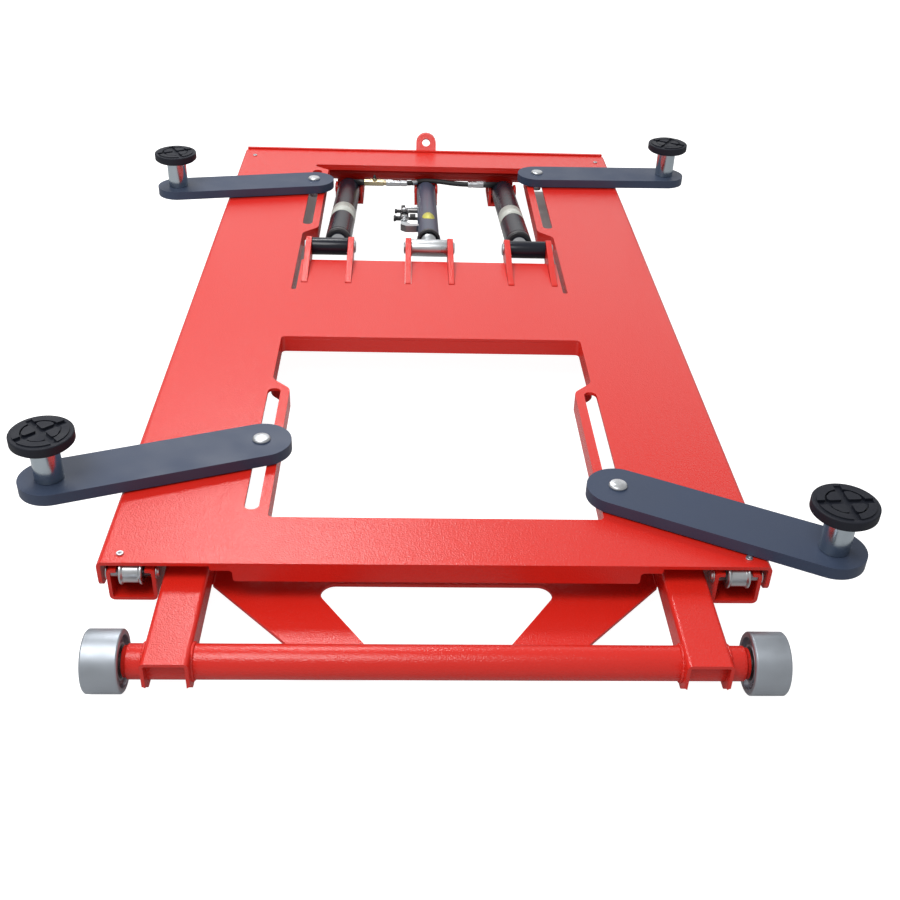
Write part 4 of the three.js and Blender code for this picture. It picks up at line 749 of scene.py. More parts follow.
def ear(x):
    outline = [Vector((938, 65)), Vector((1004, 65)),
               *arc(ROD_PIN_Y, ROD_PIN_Z, 22, -math.pi / 3, math.pi / 2 + REST, 24),
               *rounded([(ROD_PIN_Y, 142), (961, 108, 3), (961, 96), (938, 84), (938, 65)])[1:-1]]
    return worked(plate(outline, x - 6.5, x + 6.5, "x"),
                  cut=[rod(10.3, x - 20, x + 20, "x", (0, ROD_PIN_Y, ROD_PIN_Z))])


cross_tube = softened(block(-BETWEEN_ARMS, BETWEEN_ARMS, 922, 1006, 24, 68), 6, "x")
cross_tube = worked(cross_tube, cut=[softened(block(-350, 350, 927, 1001, 29, 63), 3, "x")])
finished("cross_tube_with_ears", worked(cross_tube, add=[ear(x) for x in EAR_CENTRES]),
         "red", "inner_arms", "ear_crossmember", 0.9)

# %% Pins through the ears
right_half = [(10, 54.3), (14, 54.3), (14, 56), (12, 58.3, 1.5), (0, 58.3)]
left_half = [(radius, -along, *edge) for radius, along, *edge in reversed(right_half)]
for name, x in (("left", -EYE_X), ("centre", 0), ("right", EYE_X)):
    pin = turned([*left_half, *right_half], "x", (0, ROD_PIN_Y, ROD_PIN_Z))
    finished("ear_pin_" + name, moved(pin, Matrix.Translation((x, 0, 0))), "zinc", "inner_arms",
             "rod_eye_pin_" + name, 0.4)

# %% [markdown]
# ## Outer arms and rollers
# An outer arm is a channel with its lips bent inwards, open side up. A roller turns in its near end
# on a pin that goes through both walls, and runs under the platform. The channel gets shallower
# towards the base, so its section is drawn at both ends and joined.

# %% Outer arms
OUTER_IN, OUTER_OUT = 416, 487
ROLLER_Y, ROLLER_Z = 12.4, 82


def channel_section(low, high):
    wall, lip = 5.5, 14.5
    return rounded([
        (OUTER_IN, low, 8), (OUTER_OUT, low, 8), (OUTER_OUT, high, 7), (OUTER_OUT - lip, high),
        (OUTER_OUT - lip, high - wall), (OUTER_OUT - wall, high - wall, 2),
        (OUTER_OUT - wall, low + wall, 3), (OUTER_IN + wall, low + wall, 3),
        (OUTER_IN + wall, high - wall, 2), (OUTER_IN + lip, high - wall),
        (OUTER_IN + lip, high), (OUTER_IN, high, 7)])


def outer_arm():
    arm = prism([(x, 0, z) for x, z in channel_section(37, 94)],
                [(x, 1800, z) for x, z in channel_section(10.3, 59.3)])
    rise = math.asin(15 / 34)
    side = plate([Vector((-5, 120)), Vector((-5, 20)), Vector((1765 - 34, 5)),
                  *arc(1765, 45, 34, -math.pi / 2, rise, 24), Vector((1765 + 30.5, 70)),
                  Vector((1700, 120))], 400, 500, "x")
    return worked(arm, keep=[side], cut=[rod(8.3, 400, 500, "x", (0, ROLLER_Y, ROLLER_Z)),
                                         rod(14.3, 400, 500, "x", (0, CENTRE_Y, CENTRE_Z)),
                                         rod(12.3, 400, 500, "x", (0, 1765, 45))])


pair("outer_arm", outer_arm(), "red", "outer_arms", "outer_arm", 0.6)

# %% Rollers and their pins
roller_pin = turned([
    (0, 411), (6.6, 411), (8, 412.4), (8, 414.1), (11.5, 414.1, 0.4), (11.5, 415.7, 0.4), (8, 415.7),
    (8, 487.3), (11.5, 487.3, 0.4), (11.5, 488.9, 0.4), (0, 488.9)], "x", (0, ROLLER_Y, ROLLER_Z))
pair("roller_pin", roller_pin, "zinc", "outer_arms", "roller_axle", 0)
roller = turned([
    (8.4, 434.5), (18.2, 434.5, 0.8), (19.7, 435.5, 0.6), (19.7, 437.8, 0.8), (17, 440.5, 1.5),
    (17, 462.5, 1.5), (19.7, 465.2, 0.8), (19.7, 467.5, 0.6), (18.2, 468.5, 0.8), (8.4, 468.5),
    (8.4, 434.5)], "x", (0, ROLLER_Y, ROLLER_Z), 64)
pair("roller", roller, "zinc", "roller", "roller", 0)
print("pieces so far:", len(made_pieces))

# %% [markdown]
# ## Cylinders and lock
# The two cylinders and the lock share one slope, from the pins in the ears down to the base. Each
# is drawn level, along its own axis, and tilted into place at the end. The rods end in a cross tube
# that turns on the ear pin: black on the cylinders, bare zinc on the lock.

# %% Tilting into place
ANCHOR_Y, ANCHOR_Z = 1706, 40
TILT = math.atan2(ROD_PIN_Z - ANCHOR_Z, ANCHOR_Y - ROD_PIN_Y)
REACH = math.hypot(ROD_PIN_Z - ANCHOR_Z, ANCHOR_Y - ROD_PIN_Y)
TO_SLOPE = Matrix.Translation((0, ROD_PIN_Y, ROD_PIN_Z)) @ Matrix.Rotation(-TILT, 4, "X")


def on_slope(thing, x=0):
    return moved(thing, TO_SLOPE @ Matrix.Translation((x, 0, 0)))


def foot(tube_end, half_width, bush_half, low, high, bush):
    """The tongue at the far end of a barrel, with a bush for the base pin."""
    outline = [Vector((tube_end - 7, low)), Vector((REACH, low)),
               *arc(REACH, 0, 14, -math.pi / 2, math.pi / 2), Vector((tube_end - 7, high))]
    tongue = plate(outline, -half_width, half_width, "x")
    return worked(tongue, add=[rod(bush, -bush_half, bush_half, "x", (0, REACH, 0))],
                  cut=[rod(7.3, -60, 60, "x", (0, REACH, 0))])


# %% Rods
ROD_LENGTH = REACH - 148


def eye_tube():
    return worked(rod(19.5, -40.7, 40.7, edge=1.2, sides=64), cut=[rod(10.3, -60, 60)])


BARREL_X, BARREL_RADIUS = 210, 30
for name, side in (("left", -1), ("right", 1)):
    bar = turned([(0, 17), (17.5, 17), (17.5, ROD_LENGTH), (0, ROD_LENGTH)], "y", sides=56)
    finished("rod_" + name, on_slope(bar, side * BARREL_X), "chrome", "cylinder_rods",
             "piston_rod_" + name, 0)
    finished("rod_eye_" + name, on_slope(eye_tube(), side * EYE_X), "black_gloss", "cylinder_rods",
             edge=0)

lock_profile = [(0, 15), (18, 15)]
for i in range(5):
    start = 150 + 60 * i
    lock_profile += [(18, start, 1), (14, start), (14, start + 10), (18, start + 14, 1)]
lock_bar = turned([*lock_profile, (18, ROD_LENGTH), (0, ROD_LENGTH)], "y", sides=56)
finished("lock_rod", on_slope(lock_bar), "zinc", "lock_rod", "lock_rod", 0)
finished("lock_eye", on_slope(eye_tube()), "zinc", "lock_rod", edge=0)

# %% [markdown]
# A barrel is honed tube with black gloss paint. Its gland screws into the near end, and a wiper
# ring seals the rod. The far end is closed by a plug with a tongue. The pale band round each barrel
# is a paper label on the real one; here it is bare paper.

# %% Barrels
BARREL_END = REACH - 12
for name, x in (("left", -BARREL_X), ("right", BARREL_X)):
    tube = turned([(0, BARREL_END - 14), (24, BARREL_END - 14), (24, 62), (BARREL_RADIUS, 62),
                   (BARREL_RADIUS, BARREL_END, 2), (0, BARREL_END)], "y", sides=72)
    tube = worked(tube, add=[foot(BARREL_END, 20, 30, -14, 14, 13)])
    finished("barrel_" + name, on_slope(tube, x), "black_gloss", "cylinder_barrels",
             "cylinder_barrel_" + name, 0.5)
    gland = turned([(17.8, 66), (17.8, 47), (21, 47), (21, 43, 1), (27.5, 43, 1.5),
                    (BARREL_RADIUS, 45.5, 1), (BARREL_RADIUS, 59.5, 0.5), (BARREL_RADIUS - 1, 60.5),
                    (BARREL_RADIUS - 1, 61.9),
                    (23.8, 61.9), (23.8, 66), (17.8, 66)], "y", sides=72)
    finished("gland_" + name, on_slope(gland, x), "dark_steel", "cylinder_barrels", edge=0)
    wiper = turned([(17.6, 46.9), (17.6, 41.6), (18.8, 41.6, 0.4), (20.8, 45, 0.5), (20.8, 46.9),
                    (17.6, 46.9)], "y", sides=56)
    finished("wiper_" + name, on_slope(wiper, x), "rubber", "cylinder_barrels", edge=0)
    around = [math.radians(a) for a in range(-10, 191, 6)]
    skin = [Vector((radius * math.cos(a), radius * math.sin(a))) for radius, angles in
            ((BARREL_RADIUS + 0.35, around), (BARREL_RADIUS - 0.1, around[::-1])) for a in angles]
    band = plate(skin, 219, 302, "y")
    finished("label_band_" + name, on_slope(band, x), "label", "cylinder_barrels", edge=0)

# %% Lock tube
def on_lock(name, thing, coat="dark_steel", stands_for=(), edge=0):
    finished(name, on_slope(thing), coat, "lock_tube", stands_for, edge)


LOCK_END = REACH - 21
on_lock("lock_collar", turned([(21.5, 58), (27.5, 58, 1.5), (27.5, 70, 1), (25.2, 70), (25.2, 72),
                               (21.5, 72), (21.5, 58)], "y", sides=72))
lock_tube = turned([(0, LOCK_END - 14), (21, LOCK_END - 14), (21, 66), (25, 66), (25, LOCK_END, 2),
                    (0, LOCK_END)], "y", sides=72)
window = block(-50, 0, 167, 223, -10.3, 10.3)
lock_tube = worked(lock_tube, add=[foot(LOCK_END, 15, 25, -14, -3, 13)], cut=[window])
on_lock("lock_tube", lock_tube, "lock_blue", "lock_tube", 0.5)
dot_angles = [math.radians(9 * k) for k in range(40)]
dot_outline = [(15 * math.cos(a), 30 * math.sin(a)) for a in dot_angles]
skin = worked(turned([(0, 160), (25.35, 160), (25.35, 250), (0, 250)], "y", sides=96),
              keep=[moved(plate(dot_outline, 15, 30), Matrix.Translation((1, 200, 0)))])
on_lock("yellow_dot", skin, "dot")

# %% [markdown]
# ## Latch
# The latch is beside the lock tube. A small air cylinder pulls a pawl out of the notches of the rod.
# A bracket below the pawl carries its hinge pin, two studs hold the cylinder to the tube, and a short
# rail with a round head stands behind it. Black push-in fittings, a knob and two clamps complete it.
# How it works inside is a guess. All of it is placed along the slope, like the tube.

# %% Latch
LATCH_X, HINGE_Y, TUBE_SIDE = -58, 214, -22.5
FITTINGS_Y, RAIL_Y = (264, 336), 372
bracket = plate(rounded([(-66, 206, 5), (-21, 209), (-21, 221), (-66, 222, 5)]), -13.4, -10.4)
on_lock("latch_bracket", worked(bracket, add=[
    rod(4, -15, 13, "z", (LATCH_X, HINGE_Y, 0)), rod(7, 8.4, 11.4, "z", (LATCH_X, HINGE_Y, 0))]),
    "zinc", edge=0.5)
studs = [rod(4, LATCH_X + 9.8, TUBE_SIDE, "x", (0, y, 0)) for y in FITTINGS_Y]
nut = rod(8, -44, -30, "x", (0, FITTINGS_Y[0], 4))
on_lock("latch_studs", worked(studs[0], add=[studs[1], nut]), edge=0.4)
on_lock("latch_rail", rod(3.6, LATCH_X, TUBE_SIDE, "x", (0, RAIL_Y, 0)), "zinc")
on_lock("latch_cylinder", turned([
    (0, 223.6), (4.2, 223.6), (4.2, 258), (9.5, 258, 1), (9.5, 270, 1), (8.5, 270), (8.5, 330),
    (9.5, 330, 1), (9.5, 342, 1), (0, 342)], "y", (LATCH_X, 0, 0)), "zinc", "latch_actuator")


def push_fitting(y, start, length, radius, axis="x"):
    end = start + length
    return turned([(0, end), (radius, end, 1.2), (radius, end - 5, 0.6), (radius * 0.72, end - 6),
                   (radius * 0.72, start + 4), (radius * 0.9, start + 4), (radius * 0.9, start),
                   (0, start)], axis, (0 if axis == "x" else LATCH_X, y, 0), 32)


for number, y, length, radius in ((1, FITTINGS_Y[0], 22, 8), (2, FITTINGS_Y[1], 20, 6)):
    knob = moved(push_fitting(y, -LATCH_X + 4.7, length, radius), Matrix.Diagonal((-1, 1, 1, 1)))
    knob.data.flip_normals()
    on_lock(f"latch_fitting_{number}", knob)
on_lock("latch_knob", push_fitting(282, 6, 9, 6.5, "z"))
on_lock("latch_stop_head", turned([
    (0, LATCH_X - 8), (7, LATCH_X - 8, 2), (7, LATCH_X + 2, 1), (0, LATCH_X + 2)],
    "x", (0, RAIL_Y, 0), 32))
clamps = [turned([(8.6, y), (10.6, y, 0.6), (10.6, y + 6, 0.6), (8.6, y + 6), (8.6, y)],
                 "y", (LATCH_X, 0, 0), 32) for y in (286, 312)]
on_lock("latch_clamps", worked(clamps[0], add=[clamps[1]]))

pawl = plate(rounded([(LATCH_X + 8, 223, 7), (LATCH_X - 9, 223, 8), (LATCH_X - 9, 180, 16),
                      (LATCH_X + 4, 163, 10), (-26, 165, 8), (-18.6, 175, 2), (-18.6, 186, 2),
                      (LATCH_X + 16, 183, 8), (LATCH_X + 8, 197, 8)]), -8, 8)
pawl = worked(pawl, cut=[rod(4.3, -30, 30, "z", (LATCH_X, HINGE_Y, 0))])
finished("latch_pawl", on_slope(pawl), "zinc", "latch_pawl", "latch_pawl", 0.8)
print("pieces so far:", len(made_pieces))

# %% [markdown]
# ## Hose and fittings
# A short hose joins the two barrels, so that they rise together. It comes straight out of its
# ferrules and swings in two even bends behind the end of the lock tube.

# %% Hose
HOSE_Y, HOSE_Z, HOSE_RADIUS = 1687, 63, 6.5
HOSE_START, HOSE_END = -51.7, 113.7


def hose_point(x):
    out = x / HOSE_START if x < 0 else x / HOSE_END
    sway = 1 - 2 * out * out if out < 0.5 else 2 * (1 - out) ** 2
    return in_frame(x, HOSE_Y + 13 * sway, HOSE_Z + 3 * sway)


HOSE_STEPS = 36
hose_path = [hose_point(HOSE_START + (HOSE_END - HOSE_START) * k / HOSE_STEPS)
             for k in range(HOSE_STEPS + 1)]
hose_curve = bpy.data.curves.new("hose", "CURVE")
hose_curve.dimensions = "3D"
hose_curve.bevel_depth, hose_curve.bevel_resolution = HOSE_RADIUS * MM, 8
hose_curve.use_fill_caps = True
spline = hose_curve.splines.new("POLY")
spline.points.add(len(hose_path) - 1)
for point, where in zip(spline.points, hose_path):
    point.co = (*where, 1)
spline.use_smooth = True
hose = placed("hydraulic_hose_cover", hose_curve)
hose_curve.materials.append(FINISHES["hose"])
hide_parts("hydraulic_hose")
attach(hose, "cylinder_barrels")
hose_length = sum((b - a).length for a, b in zip(hose_path, hose_path[1:]))
tuple(hose_path[0])
print("hose", round(hose_length, 4), "metres")

# %% [markdown]
# The fittings are turned and hexagon steel in a row: a black elbow on each barrel, a plated tee
# with a bleed screw on the left, then nut and ferrule. Each row is one piece per finish. Where a
# fitting meets its barrel it is cut to the barrel's round.

# %% Fittings
def on_barrels(name, thing, coat, stands_for=(), edge=0):
    finished(name, thing, coat, "cylinder_barrels", stands_for, edge)


def beside_barrel(thing, side):
    radius = BARREL_RADIUS + 0.2
    round_tool = turned([(0, 40), (radius, 40), (radius, REACH), (0, REACH)], "y", sides=72)
    return worked(thing, cut=[on_slope(round_tool, side * BARREL_X)])


def fitting(profile):
    return turned(profile, "x", (0, HOSE_Y, HOSE_Z), 40)


def hex_bar(start, end):
    corners = hexagon(16.4 / math.sqrt(3), (HOSE_Y, HOSE_Z), 30)
    return plate(corners, min(start, end), max(start, end), "x")


def ferrule(nut_start, nut_end, groove, end):
    step = 1 if end > nut_end else -1
    return worked(hex_bar(nut_start, nut_end), add=[fitting([
        (0, nut_end), (8.5, nut_end), (8.5, groove - 2 * step, 0.6), (7.6, groove - step),
        (7.6, groove + step), (8.5, groove + 2 * step, 0.6), (8.5, end, 1), (0, end)])])


for name, side, end in (("left", -1, -168), ("right", 1, 156)):
    start = side * BARREL_X
    elbow = beside_barrel(fitting([(0, start), (8, start), (8, end, 1), (0, end)]), side)
    on_barrels("elbow_" + name, elbow, "dark_steel", ["hose_fittings_" + name])
BLEED = (-140, HOSE_Y, HOSE_Z)
tee = worked(hex_bar(-168, -116), add=[
    rod(6.5, 6, 12, "z", BLEED), rod(7, -116, -108, "x", (0, HOSE_Y, HOSE_Z))])
on_barrels("tee", tee, "yellow_zinc", edge=0.6)
bleed = worked(rod(4.6, 11, 17, "z", BLEED, 1.2), add=[rod(3, 16, 21, "z", BLEED, 1)])
on_barrels("bleed_screw", bleed, "dark_steel")
on_barrels("ferrule_left", ferrule(-108, -91, -70, -52), "zinc", edge=0.6)
on_barrels("ferrule_right", ferrule(156, 139, 126, 114), "zinc", edge=0.6)
clip_at = hose_point(-32)
clip = turned([(6.6, -6.5), (7.6, -6.5, 0.5), (7.6, 6.5, 0.5), (6.6, 6.5), (6.6, -6.5)], "x", sides=40)
lean = (hose_point(-31) - hose_point(-33)).normalized().to_track_quat("X", "Z").to_matrix().to_4x4()
on_drawing = (clip_at.x / MM, clip_at.y / MM + PIVOT_Y, clip_at.z / MM)
clip = moved(clip, Matrix.Translation(on_drawing) @ lean)
on_barrels("hose_clip", clip, "zinc")

# %% [markdown]
# ## Base
# Five flat bars rest on the floor and carry the lugs that everything pivots on. The end plate stands
# on them and closes the far end of the lift, and the tow eye is a bent flat bar on its back.

# %% Base
for name in ("side_floor_bar_left", "side_floor_bar_right", "cylinder_bar_left", "lock_bar",
             "cylinder_bar_right"):
    copied(name + "_piece", name, "red", "base", 0.8)
CROSS_HALF = 404.2
cross = turned([(13, -CROSS_HALF), (16, -CROSS_HALF, 0.8), (16, CROSS_HALF, 0.8), (13, CROSS_HALF),
                (13, -CROSS_HALF)], "x", (0, 1790, 54), 56)
finished("base_tube", cross, "red", "base", "base_cross_tube", 0)

windows = [block(left, right, 1800, 1820, -5, 27) for left, right in
           ((-396, -248), (-172, -31), (31, 172), (248, 396))]
end_plate = worked(block(-494, 494, 1808, 1816, 8.3, 112), cut=windows)
LEAN = math.radians(35)
EYE_NEAR, EYE_TOP, EYE_BEND = 1814, 148.6, 106
back = (EYE_TOP - EYE_BEND) * math.tan(LEAN)
bent = plate(rounded([(EYE_NEAR, 56), (EYE_NEAR + 12, 56), (EYE_NEAR + 12, EYE_BEND, 6),
                      (EYE_NEAR + 12 / math.cos(LEAN) + back, EYE_TOP), (EYE_NEAR + back, EYE_TOP),
                      (EYE_NEAR, EYE_BEND, 18)]), -27.5, 27.5, "x")
flat = 27.5 * math.cos(LEAN)
half_turn = [math.pi * k / 32 for k in range(33)]
eye_front = plate([Vector((-27.5, 50)), Vector((27.5, 50)), *[
    Vector((27.5 * math.cos(a), EYE_TOP - flat + flat * math.sin(a))) for a in half_turn]],
    1800, 1880, "y")
hole_z = EYE_TOP - flat
hole_y = EYE_NEAR + 6 / math.cos(LEAN) + (hole_z - EYE_BEND) * math.tan(LEAN)
drill = moved(rod(11, -20, 20, "y"),
              Matrix.Translation((0, hole_y, hole_z)) @ Matrix.Rotation(-LEAN, 4, "X"))
tow_eye = worked(bent, keep=[eye_front], cut=[drill])
finished("end_plate_with_tow_eye", worked(end_plate, add=[tow_eye]), "red", "base", "end_plate", 0.8)

# %% [markdown]
# ## Swing arms
# Four flat arms with round ends turn on bolts that slide in the slots of the platform. The bolts
# have low domed heads, and at the free end of each arm a plated post carries a rubber pad. The four
# are alike, so they are made once and set down at four places and four angles.

# %% One arm
ARM_LENGTH, ARM_LOW, ARM_HIGH = 339, 111, 131
POST_HIGH = 196.3
ARMS = {"near_left": (-1, 297, -19.9), "near_right": (1, 173, -27.2),
        "far_left": (-1, 1521, -10.7), "far_right": (1, 1599, 1.5)}


def arm_blank():
    outline = [*arc(0, 0, 50, math.pi / 2, 3 * math.pi / 2, 32),
               *arc(ARM_LENGTH, 0, 50, -math.pi / 2, math.pi / 2, 32)]
    return worked(plate(outline, ARM_LOW, ARM_HIGH), cut=[
        rod(10.5, 100, 140, "z"), rod(15.5, 100, 140, "z", (ARM_LENGTH, 0, 0))])


def bolt():
    return turned([
        (0, 87.7), (13, 87.7), (13, 96.7), (20, 96.7, 0.5), (20, 101.7, 0.5), (11.2, 101.7),
        (11.2, 108.3), (30, 108.3, 0.5), (30, 110.7, 0.5), (10, 110.7), (10, 131.3), (15, 131.3, 0.3),
        (15, 133.6, 1), (13.2, 136.2, 2.5), (6, 137.6, 6), (0, 137.8)], sides=48)


def post():
    return turned([(0, ARM_LOW), (15, ARM_LOW), (15, 131.3), (23, 131.3, 0.8), (23, POST_HIGH, 1),
                   (19, POST_HIGH, 0.8), (19, 192.3), (0, 192.3)],
                  centre=(ARM_LENGTH, 0, 0), sides=64)


# %% [markdown]
# ### Rubber pads
# A pad is a moulded disc with a low smooth shoulder round its edge. On its face are four curved bars
# near the shoulder and four petals inside them, with channels between. One quarter is drawn, and a
# Geometry Nodes tree sets it down four times round the middle. Each pad has turned on its post, so
# the four stand at different angles.

# %% Pads
quarter_tree, quarter_in, quarter_out = geometry_tree("turned_copies", [
    ("Count", "NodeSocketInt", 4), ("Turn", "NodeSocketFloat", math.pi / 2)])
spots = add_node(quarter_tree, "GeometryNodeMeshLine", {"Offset": (0, 0, 0)})
copies = add_node(quarter_tree, "GeometryNodeInstanceOnPoints")
which = add_node(quarter_tree, "GeometryNodeInputIndex")
angle = add_node(quarter_tree, "ShaderNodeMath", operation="MULTIPLY")
spin = add_node(quarter_tree, "ShaderNodeCombineXYZ")
wire(quarter_tree, (quarter_in, "Count", spots, "Count"), (which, 0, angle, 0),
     (quarter_in, "Turn", angle, 1), (angle, 0, spin, "Z"), (spots, "Mesh", copies, "Points"),
     (quarter_in, "Geometry", copies, "Instance"), (spin, "Vector", copies, "Rotation"))
made_real(quarter_tree, quarter_in, quarter_out, copies)

PAD_LOW, PAD_HIGH = 196.6, 217.6
LAND, SHOULDER = PAD_HIGH - 5, PAD_HIGH - 2
PAD_TURNS = {"near_left": 42, "near_right": 4, "far_left": 28, "far_right": 60}


def sector(inner, outer, low, high, channel):
    """A quarter of a ring, cut short on both sides by half a channel."""
    def trim(radius):
        return math.asin(channel / 2 / radius)
    outline = [*arc(0, 0, outer, trim(outer), math.pi / 2 - trim(outer), 14),
               *arc(0, 0, inner, math.pi / 2 - trim(inner), trim(inner), 14)]
    return plate(outline, low, high)


def petal(low, high):
    """A rounded block whose straight sides lie along the two channels."""
    corners = [(5, 5, 3), (26.5, 5, 4), (25, 15, 9), (15, 25, 9), (5, 26.5, 4)]
    return plate(rounded(corners, 5), low, high)


def tread():
    quarter = worked(sector(31, 43, LAND - 1.5, PAD_HIGH, 11), add=[petal(LAND - 1.5, PAD_HIGH - 0.4)])
    return tree_modifier(quarter, quarter_tree, Count=4, Turn=math.pi / 2,
                         Material=FINISHES["rubber"])


def pad_disc():
    return turned([(0, PAD_LOW), (45.5, PAD_LOW, 2), (50, PAD_LOW + 4, 2.5), (50, SHOULDER, 2.5),
                   (42.4, SHOULDER, 0.6), (41.8, LAND), (0, LAND)], sides=96)


# %% Four arms in place
for name, (side, pivot_y, degrees) in ARMS.items():
    angle_here = math.radians(degrees) if side > 0 else math.pi - math.radians(degrees)
    put = Matrix.Translation((side * SLOT_X, pivot_y, 0)) @ Matrix.Rotation(angle_here, 4, "Z")
    finished("arm_" + name, moved(arm_blank(), put), "blue_grey", "arm_" + name,
             "swing_arm_" + name, 1.0)
    finished("bolt_" + name, moved(bolt(), put), "zinc", "slide_" + name, "slide_bolt_" + name, 0)
    finished("post_" + name, moved(post(), put), "post_steel", "pad_" + name, "pad_post_" + name, 0)
    on_post = Matrix.Translation(put @ Vector((ARM_LENGTH, 0, 0)))
    pad = moved(worked(pad_disc(), add=[tread()]),
                on_post @ Matrix.Rotation(math.radians(PAD_TURNS[name]), 4, "Z"))
    finished("pad_" + name, pad, "rubber", "pad_" + name, "rubber_pad_" + name, 0.6)
print("pieces so far:", len(made_pieces))

# %% [markdown]
# ## Welds
# The arms, tubes and ears are welded. A weld is a row of small overlapping ripples along a seam, so
# it follows a path by a rule. The tree resamples the path at the ripple pitch, sets a small ball of
# slightly random size on every point, and makes them real.

# %% Weld tree
weld_tree, weld_in, weld_out = geometry_tree("weld_bead", [
    ("Radius", "NodeSocketFloat", 0.003), ("Pitch", "NodeSocketFloat", 0.003),
    ("Seed", "NodeSocketInt", 3)])
to_curve = add_node(weld_tree, "GeometryNodeMeshToCurve")
spaced = add_node(weld_tree, "GeometryNodeResampleCurve", mode="LENGTH")
bead = add_node(weld_tree, "GeometryNodeMeshIcoSphere", {"Subdivisions": 2})
beads = add_node(weld_tree, "GeometryNodeInstanceOnPoints")
vary = add_node(weld_tree, "FunctionNodeRandomValue", {2: 0.85, 3: 1.12}, data_type="FLOAT")
wire(weld_tree, (weld_in, "Geometry", to_curve, "Mesh"), (to_curve, "Curve", spaced, "Curve"),
     (weld_in, "Pitch", spaced, "Length"), (weld_in, "Radius", bead, "Radius"),
     (weld_in, "Seed", vary, "Seed"), (spaced, "Curve", beads, "Points"),
     (bead, "Mesh", beads, "Instance"), (vary, 1, beads, "Scale"))
made_real(weld_tree, weld_in, weld_out, beads)


def weld(name, paths, body, radius=3.0):
    """A bead along every path; a path is a list of points on the drawing."""
    points, edges = [], []
    for path in paths:
        start = len(points)
        points += path
        edges += [(start + k, start + k + 1) for k in range(len(path) - 1)]
    mesh = bpy.data.meshes.new(name)
    mesh.from_pydata(points, edges, [])
    seam = placed(name, mesh)
    tree_modifier(seam, weld_tree, Radius=radius, Pitch=radius * 0.8, Seed=3,
                  Material=FINISHES["red"])
    return finished(name, seam, "red", body, edge=0)


def ring_path(x, radius, y, z, steps=40):
    angles = [math.radians(360 * k / steps) for k in range(steps + 1)]
    return [(x, y + radius * math.cos(a), z + radius * math.sin(a)) for a in angles]


# %% Welds in place
def both_seams(x, start, end):
    """Two straight seams, at x and at its mirror image."""
    return [[(side * x, *start), (side * x, *end)] for side in SIDES]


weld("axle_welds", [ring_path(side * x, 25.5, AXLE_Y, AXLE_Z) for side in SIDES
                    for x in (INNER_IN - 0.5, INNER_OUT + 0.5)], "inner_arms", 2.6)
weld("ear_welds", [[(x + side * 7, 942, 68.5), (x + side * 7, 1003, 68.5)]
                   for x in EAR_CENTRES for side in SIDES], "inner_arms", 2.4)
weld("brace_welds", both_seams(340, (37, 38.5), (149, 38.5)), "inner_arms", 2.2)
weld("cross_tube_welds", both_seams(340, (926, 68), (1002, 68)), "inner_arms", 2.4)
weld("tow_eye_welds", both_seams(27.5, (1816.5, 58), (1816.5, 104)), "base", 2.2)

# %% [markdown]
# ## Socket studs on the platform
# Four small socket screws stand at the corners of the platform. What they hold on the real lift
# can't be seen. One screw is made, and the tree sets it on four points.

# %% Studs
stud_tree, stud_in, stud_out = geometry_tree("studs", [("Stud", "NodeSocketObject", None)])
stud_shape = add_node(stud_tree, "GeometryNodeObjectInfo")
stud_copies = add_node(stud_tree, "GeometryNodeInstanceOnPoints")
wire(stud_tree, (stud_in, "Stud", stud_shape, "Object"), (stud_in, "Geometry", stud_copies, "Points"),
     (stud_shape, "Geometry", stud_copies, "Instance"))
made_real(stud_tree, stud_in, stud_out, stud_copies)

screw = worked(turned([(0, -1), (5.5, -1), (5.5, 2.8, 1), (0, 2.8)], sides=32),
               cut=[plate(hexagon(3), 0.2, 6)])
corner_points = solid([(side * 468, y, DECK_TOP) for side in SIDES for y in (20, 1754)], [])
studs = tree_modifier(corner_points, stud_tree, Stud=screw, Material=FINISHES["zinc"])
bpy.data.objects.remove(screw)
finished("corner_studs", studs, "zinc", "platform", edge=0.3)
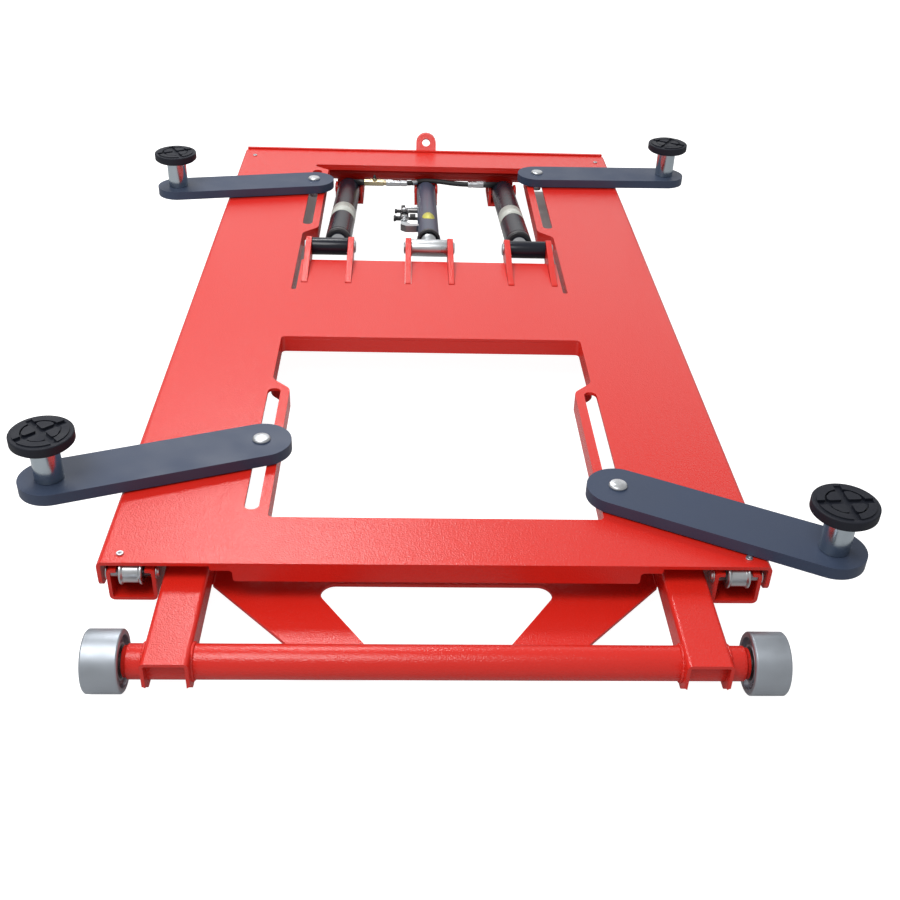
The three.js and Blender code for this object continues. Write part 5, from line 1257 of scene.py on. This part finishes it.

# %% [markdown]
# ## Floor and light
# The picture was taken on white, so the gloss of the paint mirrors white all round. The world is
# white and half bright. A broad lamp above the near end gives the long highlights on the tubes. A
# small one is mirrored in the paint of the near left corner, and a large soft one behind the far end
# in the middle of the platform.
#
# The floor is white paper. In the picture it is pure white, and yet it throws little light up under the
# lift. So the paper itself is a middling grey, and it glows only where the camera looks straight at
# it, which Light Path tells. A narrow strip under the far slot of each side hardly glows. It is
# painted shade, a dark patch on the floor that keeps those slots dark.

# %% Floor
floor = plate([(-9000, -9000), (9000, -9000), (9000, 12000), (-9000, 12000)], -4, -0.5)
for vertex in floor.data.vertices:
    vertex.co = in_frame(*vertex.co)
floor.name = "floor"
paper = finish("white_paper", ((0.36, 0.36, 0.36), (0.38, 0.38, 0.38)), (0.6, 0.7),
               grain=50, bump=0.02, patches=1)
sheet = paper.node_tree
paper_shader = sheet.nodes["Principled BSDF"]
# Painted shade: a strip under each far slot where the floor does not glow for the camera.
SHADE_STRIP_X, SHADE_STRIP_HALF_WIDTH = 320, 20
SHADE_STRIP_Y, SHADE_STRIP_HALF_LENGTH = 1472, 342
places = add_node(sheet, "ShaderNodeTexCoord")
parts = add_node(sheet, "ShaderNodeSeparateXYZ")
beside = add_node(sheet, "ShaderNodeMath", operation="ABSOLUTE")
across = add_node(sheet, "ShaderNodeMath", {1: SHADE_STRIP_X * MM, 2: SHADE_STRIP_HALF_WIDTH * MM},
                  operation="COMPARE")
along = add_node(sheet, "ShaderNodeMath", {1: (SHADE_STRIP_Y - PIVOT_Y) * MM, 2: SHADE_STRIP_HALF_LENGTH * MM},
                 operation="COMPARE")
# strip is the painted shade strip; where it is 1 the camera glow is taken away.
strip = add_node(sheet, "ShaderNodeMath", operation="MULTIPLY")
seen = add_node(sheet, "ShaderNodeLightPath")
bright = add_node(sheet, "ShaderNodeMath", operation="SUBTRACT", use_clamp=True)
glow = add_node(sheet, "ShaderNodeMapRange", {"To Min": 0.1, "To Max": 0.97})
wire(sheet, (places, "Object", parts, "Vector"), (parts, "X", beside, 0), (beside, 0, across, 0),
     (parts, "Y", along, 0), (across, 0, strip, 0), (along, 0, strip, 1),
     (seen, "Is Camera Ray", bright, 0), (strip, 0, bright, 1), (bright, 0, glow, "Value"),
     (glow, "Result", paper_shader, "Emission Strength"))
paper_shader.inputs["Emission Color"].default_value = (1, 1, 1, 1)
floor.data.materials.append(paper)

# %% Light
world = bpy.data.worlds.new("white_studio")
world.use_nodes = True
sky = world.node_tree.nodes["Background"].inputs
sky["Color"].default_value, sky["Strength"].default_value = (1, 1, 1, 1), 0.5
bpy.context.scene.world = world


def lamp(name, place, aim, size, watts):
    light = bpy.data.lights.new(name, "AREA")
    light.shape, light.size, light.size_y, light.energy = "RECTANGLE", size[0], size[1], watts
    facing = (Vector(aim) - Vector(place)).to_track_quat("-Z", "Y").to_matrix().to_4x4()
    placed(name, light).matrix_world = Matrix.Translation(place) @ facing


lamp("broad_lamp", (-1.2, -2.6, 3.4), (0, -1.0, 0), (2.4, 1.6), 88)
lamp("near_lamp", (-0.62, 0.55, 2.3), (-0.4, -0.6, 0), (1.1, 0.5), 28)
lamp("back_lamp", (0.4, 4.2, 2.3), (0, -0.6, 0.2), (6.5, 3.0), 38)
bpy.context.scene.view_settings.view_transform = "Standard"
